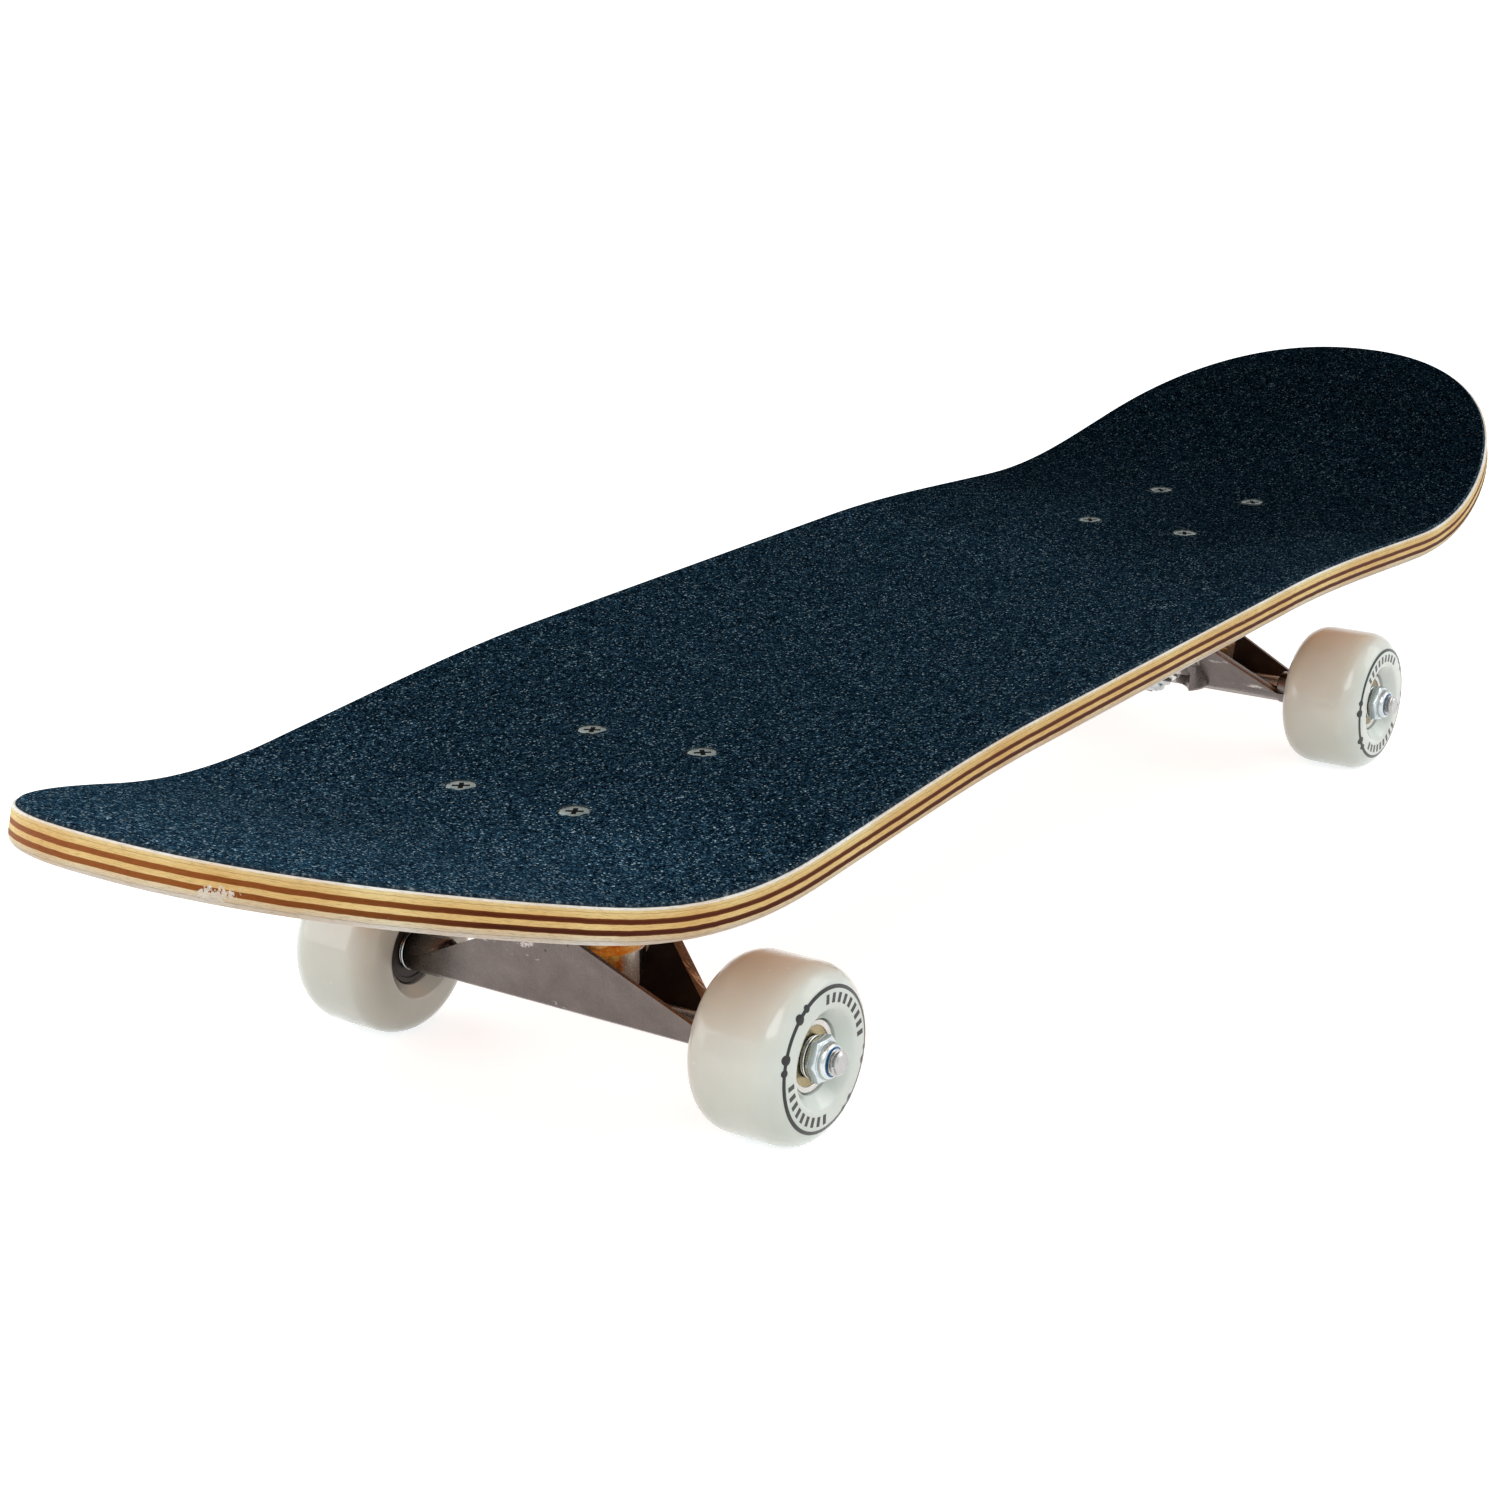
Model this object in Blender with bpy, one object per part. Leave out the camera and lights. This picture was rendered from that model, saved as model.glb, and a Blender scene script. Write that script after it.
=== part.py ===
"""A street skateboard: a seven-ply deck with grip tape, two steering trucks and four wheels.

Run with: blender --background --python part.py
Frame: metres, +Z up, +X towards the nose, origin on the floor under the middle of the board.
Each truck is built in its own frame: origin on the axle's middle, +X away from the board's
middle, +Z up. Along the kingpin and along the steering axis, distances are counted from the
point where the two lines cross, in the middle of the hanger's ring.
"""

import math
from collections import namedtuple

import bmesh
import bpy
from mathutils import Matrix, Vector

mm = 0.001

# ---------------------------------------------------------------- driving dimensions

# Clearances
FIT_GAP = 0.3 * mm              # between two pieces that touch on the real board
SKIN_GAP = 0.2 * mm             # between the grip tape and the wood
BOLT_CLEARANCE = 0.35 * mm      # round a bolt's shank or head, on the radius
MERGE = 0.001 * mm
CUTTER_REACH = 40.0 * mm        # how far a cutter runs past what it cuts
ROOT_OVERLAP = 3.0 * mm         # how deep one cast feature starts inside the next

# Deck: one end's shape along the centre line
DeckEnd = namedtuple("DeckEnd", "length kick_start bend_radius kick_angle round_start "
                                "round_power_along round_power_across edge_curl")
NOSE = DeckEnd(length=393.6 * mm, kick_start=225.0 * mm, bend_radius=275.0 * mm,
               kick_angle=math.radians(16.6), round_start=215.0 * mm,
               round_power_along=2.02, round_power_across=2.39, edge_curl=-0.34)
TAIL = DeckEnd(length=393.8 * mm, kick_start=219.0 * mm, bend_radius=310.0 * mm,
               kick_angle=math.radians(17.24), round_start=193.5 * mm,
               round_power_along=3.12, round_power_across=2.14, edge_curl=-0.38)
DECK_HALF_WIDTH = 98.4 * mm
DECK_TAPER = 0.7 * mm           # lost on each side by the waist distance
TAPER_DISTANCE = 250.0 * mm
PLY_STACK = 10.2 * mm
EDGE_ROUNDING = 3.0 * mm        # the lower edge is sanded round
EDGE_ROUNDING_START = 0.70      # share of the ply stack above the rounding
CONCAVE_RISE = 7.0 * mm
CONCAVE_POWER = 2.21
CONCAVE_FADE_BEFORE = 127.0 * mm
CONCAVE_FADE_AFTER = 63.0 * mm
TIP_CUT = 0.9965                # the end row stops just short of the tip
GRIP_THICKNESS = 0.7 * mm
GRIP_EDGE_INSET = 0.8 * mm
STRAIGHT_ROWS = 7               # rows of faces in each half's straight-sided part
ROUND_ROWS = 9                  # and in its rounded end
COLUMNS = (-1.0, -0.75, -0.4, 0.0, 0.4, 0.75, 1.0)

# Trucks and their bolts
AXLE_SPACING = 411.2 * mm       # between the two axles
HEAD_BELOW_SEAT = 3.4 * mm      # the kingpin's head stays this far under the plate's flat top
BOLT_SPACING_LONG = 63.5 * mm
BOLT_SPACING_WIDE = 41.3 * mm
BOLT_CENTRE_OFFSET = -8.4 * mm  # the pattern's middle, from the axle
BOLT_RADIUS = 2.38 * mm
BOLT_HEAD_RADIUS = 4.75 * mm
BOLT_HEAD_RIM = 0.4 * mm
BOLT_CONE_DEPTH = 2.6 * mm
BOLT_HEAD_PROUD = 0.6 * mm      # the head's top above the wood
BOLT_LENGTH = 28.6 * mm
CROSS_HALF_WIDTH = 0.6 * mm
CROSS_REACH = 2.6 * mm
CROSS_DEPTH = 1.7 * mm
DECK_NUT_FLATS = 9.5 * mm
DECK_NUT_HEIGHT = 6.0 * mm
NUT_HEX_SHARE = 0.62            # of a lock nut's height; the rest is its round collar
NUT_COLLAR_SHARE = 0.43         # the collar's radius, of the distance over flats
NUT_CHAMFER = 0.35 * mm
BOLT_POINT = 0.5 * mm

PLATE_LENGTH = 80.0 * mm
PLATE_WIDTH = 57.0 * mm
PLATE_THICKNESS = 6.5 * mm
PLATE_CORNER = 9.0 * mm
PLATE_CORNER_STEPS = 4
PLATE_EDGE_LAND = 0.7 * mm      # the pivot's neck stops this far inside the plate's edge
NECK_INSIDE = 0.5 * mm          # the neck's inner face, along X from the pivot's mouth
NECK_SLOPE_LENGTH = 2.0 * mm
NECK_FOOT_RISE = 5.5 * mm       # the neck's lowest line above the pivot's mouth
NECK_OUTER_RISE = 4.5 * mm

RING_CENTRE = Vector((-15.5 * mm, 0.0, 16.5 * mm))
KINGPIN_TILT = math.radians(22.0)       # from upright, its nut towards the board's middle
STEER_ANGLE = math.radians(31.0)        # the steering axis above level, rising outwards
KINGPIN_RADIUS = 4.76 * mm
KINGPIN_HEAD_FLATS = 14.3 * mm
KINGPIN_HEAD_HEIGHT = 5.5 * mm
KINGPIN_CHAMFER = 0.8 * mm
KINGPIN_END = 0.8 * mm                  # thread left below the nut
KINGPIN_NUT_HEIGHT = 5.8 * mm
BOSS_WALL = 11.5 * mm                   # baseplate metal between the washer and the head
BOSS_RADIUS = 13.0 * mm
BOSS_ROOT = 16.0 * mm                   # how far the boss runs on above the head's seat

RING_WEB_HALF = 3.5 * mm                # half the metal between the two bushings
RING_RADIUS = 18.5 * mm
RING_REACH_UP = 7.0 * mm
RING_REACH_DOWN = 9.0 * mm
RING_HOLE_RADIUS = 7.0 * mm
SEAT_CLEARANCE = 0.6 * mm               # round a bushing in its seat
BOARD_BUSHING_RADIUS = 12.5 * mm
BOARD_BUSHING_HEIGHT = 13.5 * mm
BUSHING_BULGE = 0.5 * mm
BUSHING_CHAMFER = 1.2 * mm
ROAD_BUSHING_RADIUS = 11.5 * mm
ROAD_BUSHING_SMALL_RADIUS = 9.4 * mm
ROAD_BUSHING_HEIGHT = 9.0 * mm
ROAD_BUSHING_SKIRT = 3.15 * mm          # straight above the cone
WASHER_THICKNESS = 1.3 * mm
BOARD_WASHER_RADIUS = 12.8 * mm
ROAD_WASHER_RADIUS = 10.6 * mm

NUB_START = 34.5 * mm                   # along the steering axis
NUB_LENGTH = 10.0 * mm
NUB_RADIUS = 6.3 * mm
NUB_TIP_RADIUS = 5.4 * mm
CUP_WALL = 2.1 * mm
CUP_FLANGE = 0.8 * mm
CUP_FLANGE_OVERHANG = 0.5 * mm
CUP_CHAMFER = 1.0 * mm
NUB_TIP_SHARE = 0.4                     # the tip's cone is this share of its radius long
NUB_FACE_SHARE = 0.5                    # the flat tip's radius, of the cone's
PIVOT_BOSS_WALL = 2.6 * mm
NECK_HALF_WIDTH = 9.0 * mm

HANGER_HALF_LENGTH = 60.6 * mm
WALL_END = 57.0 * mm                    # the channel's walls stop inside the wheels
END_BLOCK_START = 48.0 * mm
END_BLOCK_RADIUS = 6.3 * mm
CHANNEL_HALF_FOOT = 6.6 * mm
CHANNEL_BOTTOM = -2.8 * mm
CHANNEL_HALF_BELLY = 2.4 * mm
CHANNEL_BELLY = -5.4 * mm           # lowest under the axle
CHANNEL_FLOOR = -1.0 * mm
CHANNEL_HALF_FLOOR = 3.8 * mm
OUTER_WALL_PEAK = Vector((14.0 * mm, 0.0, 28.0 * mm))
OUTER_WALL_END_HEIGHT = 0.3 * mm
OUTER_WALL_THICKNESS = 3.2 * mm
INNER_WALL_PEAK = Vector((-22.0 * mm, 23.0 * mm, 18.5 * mm))
INNER_WALL_END = 49.1 * mm          # the lower wall has sloped down by here
INNER_WALL_END_HEIGHT = -0.6 * mm
INNER_WALL_THICKNESS = 4.2 * mm
ARM_HALF_WIDTH = 8.5 * mm
ARM_INTO_RING = 1.5 * mm
ARM_SHOULDER = 20.0 * mm                # along the kingpin, clear of the bushing
ARM_FLUSH_HEIGHT = 20.0 * mm            # the arm is flush with the outer wall up to here

AXLE_RADIUS = 3.97 * mm
AXLE_HALF_LENGTH = 96.0 * mm
AXLE_CHAMFER = 0.8 * mm

# Wheels and bearings, from the wheel's middle along the axle
WHEEL_RADIUS = 27.2 * mm
WHEEL_WIDTH = 33.0 * mm
WHEEL_EDGE_ALONG = 9.1 * mm
WHEEL_EDGE_INWARD = 7.8 * mm
WHEEL_DISH_RADIUS = 15.5 * mm
HUB_SHOULDER_RADIUS = 8.6 * mm
POCKET_LAND = 0.5 * mm          # the bearing sits this deep in its pocket
BEARING_RADIUS = 11.0 * mm
BEARING_WIDTH = 7.0 * mm
OUTER_RACE_WALL = 1.8 * mm
SHIELD_RECESS = 0.5 * mm
INNER_RACE_RADIUS = 6.05 * mm
SPACER_LENGTH = 10.0 * mm
SPACER_RADIUS = 5.3 * mm
SPEED_WASHER_RADIUS = 6.5 * mm
SPEED_WASHER_THICKNESS = 1.0 * mm
AXLE_NUT_FLATS = 12.7 * mm
AXLE_NUT_HEIGHT = 6.5 * mm

# Facets round each kind of round piece
WHEEL_FACETS = 24
RACE_FACETS = 16
SHAFT_FACETS = 12
BUSHING_FACETS = 16
NUT_FACETS = 12
RING_FACETS = 24
WHEEL_EDGE_STEPS = 3

# ---------------------------------------------------------------- worked-out positions


def outside(radius, facets):
    """The corner radius of a faceted hole that still clears a round of this radius."""
    return radius / math.cos(math.pi / facets)


AXLE_X = AXLE_SPACING / 2
AXLE_Z = WHEEL_RADIUS * math.cos(math.pi / WHEEL_FACETS)
AXLE_BORE_RADIUS = outside(AXLE_RADIUS + FIT_GAP, SHAFT_FACETS)

# Along the kingpin, upwards from the ring's middle
BOARD_BUSHING_BOTTOM = RING_WEB_HALF + FIT_GAP
BOARD_WASHER_BOTTOM = BOARD_BUSHING_BOTTOM + BOARD_BUSHING_HEIGHT + FIT_GAP
BOSS_BOTTOM = BOARD_WASHER_BOTTOM + WASHER_THICKNESS + FIT_GAP
HEAD_SEAT = BOSS_BOTTOM + BOSS_WALL
ROAD_BUSHING_TOP = -(RING_WEB_HALF + FIT_GAP)
ROAD_BUSHING_BOTTOM = ROAD_BUSHING_TOP - ROAD_BUSHING_HEIGHT
ROAD_WASHER_TOP = ROAD_BUSHING_BOTTOM - FIT_GAP
KINGPIN_NUT_TOP = ROAD_WASHER_TOP - WASHER_THICKNESS - FIT_GAP
KINGPIN_BOTTOM = KINGPIN_NUT_TOP - KINGPIN_NUT_HEIGHT - KINGPIN_END
KINGPIN_HOLE_RADIUS = outside(KINGPIN_RADIUS + FIT_GAP, BUSHING_FACETS)

# The baseplate's flat top, above the axle: just over the kingpin's head
TRUCK_SEAT_HEIGHT = (RING_CENTRE.z + HEAD_BELOW_SEAT
                     + (HEAD_SEAT + FIT_GAP + KINGPIN_HEAD_HEIGHT) * math.cos(KINGPIN_TILT)
                     + KINGPIN_HEAD_FLATS / math.sqrt(3) * math.sin(KINGPIN_TILT))
WOOD_BOTTOM_Z = AXLE_Z + TRUCK_SEAT_HEIGHT + FIT_GAP
WOOD_TOP_Z = WOOD_BOTTOM_Z + PLY_STACK

# Along the steering axis, outwards from the ring's middle
NUB_END = NUB_START + NUB_LENGTH
CUP_FLANGE_START = NUB_START + FIT_GAP
PIVOT_MOUTH = CUP_FLANGE_START + CUP_FLANGE + FIT_GAP
CUP_BORE_RADIUS = NUB_RADIUS + FIT_GAP
CUP_RADIUS = CUP_BORE_RADIUS + CUP_WALL
CUP_END = NUB_END + FIT_GAP + CUP_WALL
SOCKET_RADIUS = outside(CUP_RADIUS + FIT_GAP, BUSHING_FACETS)
SOCKET_END = CUP_END + FIT_GAP
PIVOT_BOSS_RADIUS = SOCKET_RADIUS + PIVOT_BOSS_WALL
PIVOT_BOSS_END = SOCKET_END + PIVOT_BOSS_WALL

# Along the axle, outwards from the board's middle
INNER_WASHER_START = HANGER_HALF_LENGTH + FIT_GAP
WHEEL_OFFSET = INNER_WASHER_START + SPEED_WASHER_THICKNESS + BEARING_WIDTH + SPACER_LENGTH / 2
BEARING_OFFSET = (SPACER_LENGTH + BEARING_WIDTH) / 2
STACK_HALF_LENGTH = SPACER_LENGTH / 2 + BEARING_WIDTH + SPEED_WASHER_THICKNESS
AXLE_NUT_START = WHEEL_OFFSET + STACK_HALF_LENGTH + FIT_GAP

# ---------------------------------------------------------------- scene and materials

for existing in list(bpy.data.objects):
    bpy.data.objects.remove(existing, do_unlink=True)


def make_material(name, colour, roughness, metallic=0.0):
    """A plain Principled material."""
    material = bpy.data.materials.new(name)
    material.use_nodes = True
    shader = material.node_tree.nodes["Principled BSDF"]
    shader.inputs["Base Color"].default_value = (*colour, 1.0)
    shader.inputs["Roughness"].default_value = roughness
    shader.inputs["Metallic"].default_value = metallic
    material.diffuse_color = (*colour, 1.0)
    return material


MAPLE = make_material("maple_ply", (0.74, 0.54, 0.32), 0.5)
GRIT = make_material("grip_grit", (0.012, 0.017, 0.026), 0.95)
CAST = make_material("cast_aluminium", (0.42, 0.41, 0.40), 0.42, 1.0)
PLATE = make_material("plate_aluminium", (0.50, 0.50, 0.50), 0.38, 1.0)
STEEL = make_material("axle_steel", (0.55, 0.55, 0.56), 0.3, 1.0)
ZINC = make_material("zinc_plated_steel", (0.68, 0.70, 0.72), 0.28, 1.0)
BOLT_STEEL = make_material("grey_bolt_steel", (0.22, 0.22, 0.22), 0.5, 1.0)
WHEEL_URETHANE = make_material("wheel_urethane", (0.86, 0.80, 0.72), 0.22)
BUSHING_URETHANE = make_material("bushing_urethane", (0.78, 0.60, 0.34), 0.35)
CUP_NYLON = make_material("pivot_cup_nylon", (0.04, 0.04, 0.045), 0.5)
RACE_STEEL = make_material("bearing_steel", (0.70, 0.66, 0.58), 0.22, 1.0)

# ---------------------------------------------------------------- mesh helpers


def ring(radius, height, facets, phase=0.0):
    """Points of one level circle."""
    angles = [phase + 2 * math.pi * i / facets for i in range(facets)]
    return [Vector((radius * math.cos(a), radius * math.sin(a), height)) for a in angles]


def hex_ring(flats, height):
    """Points of one level hexagon, with a point in the middle of each side."""
    points = []
    for i in range(NUT_FACETS):
        angle = 2 * math.pi * i / NUT_FACETS
        radius = flats / 2 / math.cos(angle % (math.pi / 3) - math.pi / 6)
        points.append(Vector((radius * math.cos(angle), radius * math.sin(angle), height)))
    return points


def lofted(rings, bored):
    """A closed mesh through rings of equal count: a tube's wall if bored, else capped."""
    bm = bmesh.new()
    loops = [[bm.verts.new(point) for point in points] for points in rings]
    pairs = list(zip(loops, loops[1:]))
    if bored:
        pairs.append((loops[-1], loops[0]))
    else:
        bm.faces.new(loops[0])
        bm.faces.new(loops[-1])
    for first, second in pairs:
        count = len(first)
        for i in range(count):
            j = (i + 1) % count
            bm.faces.new((first[i], first[j], second[j], second[i]))
    bmesh.ops.recalc_face_normals(bm, faces=bm.faces)
    return bm


def revolved(profile, facets, phase=0.0):
    """A closed mesh from (radius, height) points turned once round Z."""
    bm = bmesh.new()
    turn = Matrix.Rotation(phase, 3, "Z")
    verts = [bm.verts.new(turn @ Vector((radius, 0.0, height))) for radius, height in profile]
    edges = [bm.edges.new(pair) for pair in zip(verts, verts[1:])]
    if profile[0][0] > 0.0:
        edges.append(bm.edges.new((verts[-1], verts[0])))
    bmesh.ops.spin(bm, geom=verts + edges, cent=(0, 0, 0), axis=(0, 0, 1),
                   angle=2 * math.pi, steps=facets, use_merge=True)
    bmesh.ops.remove_doubles(bm, verts=bm.verts, dist=MERGE)
    bmesh.ops.recalc_face_normals(bm, faces=bm.faces)
    return bm


def rod(radius, start, end, facets):
    """A plain capped cylinder along Z."""
    return lofted([ring(radius, start, facets), ring(radius, end, facets)], bored=False)


def prism(outline, half_width):
    """A side outline of (x, z) points, drawn out along Y both ways."""
    rings = [[Vector((x, y, z)) for x, z in outline] for y in (-half_width, half_width)]
    return lofted(rings, bored=False)


def place(bm, *matrices):
    """Move a mesh by matrices, the last one first."""
    whole = Matrix.Identity(4)
    for matrix in matrices:
        whole = whole @ matrix
    bm.transform(whole)
    return bm


def below(bm, height):
    """The mesh cut off level at a height, and closed."""
    parts = bm.verts[:] + bm.edges[:] + bm.faces[:]
    cut = bmesh.ops.bisect_plane(bm, geom=parts, plane_co=(0.0, 0.0, height),
                                 plane_no=(0.0, 0.0, 1.0), clear_outer=True)["geom_cut"]
    rim = [item for item in cut if isinstance(item, bmesh.types.BMEdge)]
    if rim:
        bmesh.ops.edgeloop_fill(bm, edges=rim)
        bmesh.ops.recalc_face_normals(bm, faces=bm.faces)
    return bm


def finish_object(name, bm, material, parent=None, location=(0, 0, 0), rotation=(0, 0, 0)):
    """Turn a mesh into a named object with its material, its parent and its place."""
    mesh = bpy.data.meshes.new(name)
    bm.to_mesh(mesh)
    bm.free()
    return mesh_object(name, mesh, material, parent, location, rotation)


def mesh_object(name, mesh, material, parent=None, location=(0, 0, 0), rotation=(0, 0, 0)):
    """A named object on a mesh that it may share with its copies."""
    if material and not mesh.materials:
        mesh.materials.append(material)
    piece = bpy.data.objects.new(name, mesh)
    bpy.context.collection.objects.link(piece)
    piece.parent = parent
    piece.location = location
    piece.rotation_euler = rotation
    return piece


def smooth(mesh, angle=math.radians(35)):
    """Shade a mesh smooth across its gentle edges."""
    bm = bmesh.new()
    bm.from_mesh(mesh)
    for face in bm.faces:
        face.smooth = True
    for edge in bm.edges:
        edge.smooth = len(edge.link_faces) == 2 and edge.calc_face_angle(0.0) < angle
    bm.to_mesh(mesh)
    bm.free()


def combine(target, operation, bm):
    """Join a mesh to an object, or cut it away, with a Boolean modifier."""
    tool = finish_object(f"{target.name}_{operation.lower()}_{len(target.modifiers)}", bm, None,
                         target.parent, target.location, target.rotation_euler)
    tool.hide_render = True
    tool.display_type = "WIRE"
    modifier = target.modifiers.new(f"{operation.lower()}_{len(target.modifiers)}", "BOOLEAN")
    modifier.operation = operation
    modifier.solver = "EXACT"
    modifier.object = tool


def add_empty(name, location, parent=None, turn=0.0):
    """An empty that carries a group of pieces."""
    empty = bpy.data.objects.new(name, None)
    bpy.context.collection.objects.link(empty)
    empty.parent = parent
    empty.location = location
    empty.rotation_euler = (0.0, 0.0, turn)
    return empty


ALONG_KINGPIN = Matrix.Translation(RING_CENTRE) @ Matrix.Rotation(KINGPIN_TILT, 4, "Y")
ALONG_STEER = (Matrix.Translation(RING_CENTRE)
               @ Matrix.Rotation(math.pi / 2 - STEER_ANGLE, 4, "Y"))
ALONG_AXLE = Matrix.Rotation(-math.pi / 2, 4, "X")

# ---------------------------------------------------------------- deck and grip tape


def centre_line(s):
    """The wood's top along the middle, at arc length s: x, height and slope angle."""
    end = NOSE if s >= 0 else TAIL
    flat = min(abs(s), end.kick_start)
    bend = min(abs(s) - flat, end.bend_radius * end.kick_angle)
    straight = abs(s) - flat - bend
    angle = bend / end.bend_radius
    x = flat + end.bend_radius * math.sin(angle) + straight * math.cos(angle)
    z = end.bend_radius * (1 - math.cos(angle)) + straight * math.sin(angle)
    return math.copysign(x, s), z, math.copysign(angle, s)


def concave(s, y):
    """How far the wood rises towards its long edges, fading to a slight curl in the kicks."""
    end = NOSE if s >= 0 else TAIL
    fade = (abs(s) - end.kick_start + CONCAVE_FADE_BEFORE) / (CONCAVE_FADE_BEFORE
                                                               + CONCAVE_FADE_AFTER)
    fade = min(max(fade, 0.0), 1.0)
    fade = fade * fade * (3 - 2 * fade)
    rise = CONCAVE_RISE * (1 - fade + end.edge_curl * fade)
    return rise * (abs(y) / DECK_HALF_WIDTH) ** CONCAVE_POWER


def deck_point(s, y, lift):
    """The point of the board at arc length s and side distance y, lifted off the wood's top."""
    x, z, angle = centre_line(s)
    off = lift + concave(s, y)
    return Vector((x - off * math.sin(angle), y, WOOD_TOP_Z + z + off * math.cos(angle)))


def half_width(end, s, share, inset):
    """Half the outline's width: a faint taper, then a rounded end from share 0 to 1."""
    full = DECK_HALF_WIDTH - inset - DECK_TAPER * (s / TAPER_DISTANCE) ** 2
    return full * (1 - share ** end.round_power_along) ** (1 / end.round_power_across)


def deck_rows(inset, lift):
    """Rows of points across the board, from the tail's tip to the nose's tip."""
    stations = []
    for end, sign in ((TAIL, -1), (NOSE, 1)):
        reach = end.length - inset - end.round_start
        fade_start = end.kick_start - CONCAVE_FADE_BEFORE
        half = [(fade_start * 0.5, 0.0)]
        for i in range(STRAIGHT_ROWS):
            step = i / STRAIGHT_ROWS
            half.append((fade_start + (end.round_start - fade_start) * step, 0.0))
        last_angle = math.asin(TIP_CUT)
        for i in range(ROUND_ROWS + 1):
            share = math.sin(last_angle * i / ROUND_ROWS)
            half.append((end.round_start + reach * share, share))
        half = [(end, sign * s, share) for s, share in half]
        stations += half[::-1] + [(NOSE, 0.0, 0.0)] if sign < 0 else half
    rows = []
    for end, s, share in stations:
        width = half_width(end, s, share, inset)
        rows.append([deck_point(s, column * width, lift) for column in COLUMNS])
    return rows


def edge_loop(rows):
    """The items round the outside of a grid, in order."""
    right = [row[-1] for row in rows[1:]]
    back = rows[-1][-2::-1]
    left = [row[0] for row in rows[-2:0:-1]]
    return rows[0] + right + back + left


def board_layer(layers):
    """A closed board through (inset, lift) levels: a full sheet at the first and the last."""
    bm = bmesh.new()
    loops = []
    for i, (inset, lift) in enumerate(layers):
        rows = deck_rows(inset, lift)
        if i in (0, len(layers) - 1):
            grid = [[bm.verts.new(point) for point in row] for row in rows]
            for near, far in zip(grid, grid[1:]):
                for j in range(len(COLUMNS) - 1):
                    bm.faces.new((near[j], near[j + 1], far[j + 1], far[j]))
            loops.append(edge_loop(grid))
        else:
            loops.append([bm.verts.new(point) for point in edge_loop(rows)])
    for upper, lower in zip(loops, loops[1:]):
        count = len(upper)
        for i in range(count):
            j = (i + 1) % count
            bm.faces.new((upper[i], upper[j], lower[j], lower[i]))
    bmesh.ops.recalc_face_normals(bm, faces=bm.faces)
    return bm


def bolt_places():
    """(truck, number, x, y) of the eight deck bolts."""
    places = []
    for truck, side in (("front", 1), ("rear", -1)):
        number = 0
        for along in (1, -1):
            for across in (1, -1):
                number += 1
                x = side * (AXLE_X + BOLT_CENTRE_OFFSET + along * BOLT_SPACING_LONG / 2)
                places.append((truck, number, x, across * BOLT_SPACING_WIDE / 2))
    return places


def bolt_head_z(x, y):
    """The height of a deck bolt's head over the floor."""
    return deck_point(x, y, BOLT_HEAD_PROUD).z


def joined(meshes):
    """Several separate closed meshes in one."""
    whole = bmesh.new()
    for bm in meshes:
        mesh = bpy.data.meshes.new("joined")
        bm.to_mesh(mesh)
        bm.free()
        whole.from_mesh(mesh)
        bpy.data.meshes.remove(mesh)
    return whole


def head_hole(clearance):
    """The hole that a countersunk bolt leaves, its head's top at height 0."""
    shank = BOLT_RADIUS + clearance
    head = BOLT_HEAD_RADIUS + clearance
    cone_top = -BOLT_HEAD_RIM - clearance
    return revolved([(0.0, CUTTER_REACH), (head, CUTTER_REACH), (head, cone_top),
                     (shank, cone_top - BOLT_CONE_DEPTH), (shank, -BOLT_LENGTH),
                     (0.0, -BOLT_LENGTH)], SHAFT_FACETS)


def build_board():
    """The wooden deck and the grip tape, with the holes for the eight bolts."""
    deck = finish_object("deck", board_layer([
        (0.0, 0.0),
        (0.0, -EDGE_ROUNDING_START * PLY_STACK),
        (EDGE_ROUNDING, -PLY_STACK),
    ]), MAPLE)
    grip = finish_object("grip_tape", board_layer([
        (GRIP_EDGE_INSET, SKIN_GAP + GRIP_THICKNESS),
        (GRIP_EDGE_INSET, SKIN_GAP),
    ]), GRIT)
    for board in (deck, grip):
        smooth(board.data)
        combine(board, "DIFFERENCE", joined([
            place(head_hole(BOLT_CLEARANCE), Matrix.Translation((x, y, bolt_head_z(x, y))))
            for _, _, x, y in bolt_places()]))


# ---------------------------------------------------------------- bolts and nuts


def cross_ring(height):
    """Points of one level cross, in step with a ring of twelve."""
    a = CROSS_HALF_WIDTH
    b = CROSS_REACH
    quarter = [Vector((b, -a, height)), Vector((b, a, height)), Vector((a, a, height))]
    points = []
    for i in range(4):
        turn = Matrix.Rotation(i * math.pi / 2, 3, "Z")
        points += [turn @ point for point in quarter]
    return points


def bolt_mesh():
    """A countersunk bolt with a cross recess, its head's top at height 0."""
    phase = -math.pi / NUT_FACETS
    levels = [(BOLT_HEAD_RADIUS, 0.0), (BOLT_HEAD_RADIUS, -BOLT_HEAD_RIM),
              (BOLT_RADIUS, -BOLT_HEAD_RIM - BOLT_CONE_DEPTH),
              (BOLT_RADIUS, BOLT_POINT - BOLT_LENGTH), (BOLT_RADIUS - BOLT_POINT, -BOLT_LENGTH)]
    rings = [cross_ring(-CROSS_DEPTH), cross_ring(0.0)]
    rings += [ring(radius, height, NUT_FACETS, phase) for radius, height in levels]
    return lofted(rings, bored=False)


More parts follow.
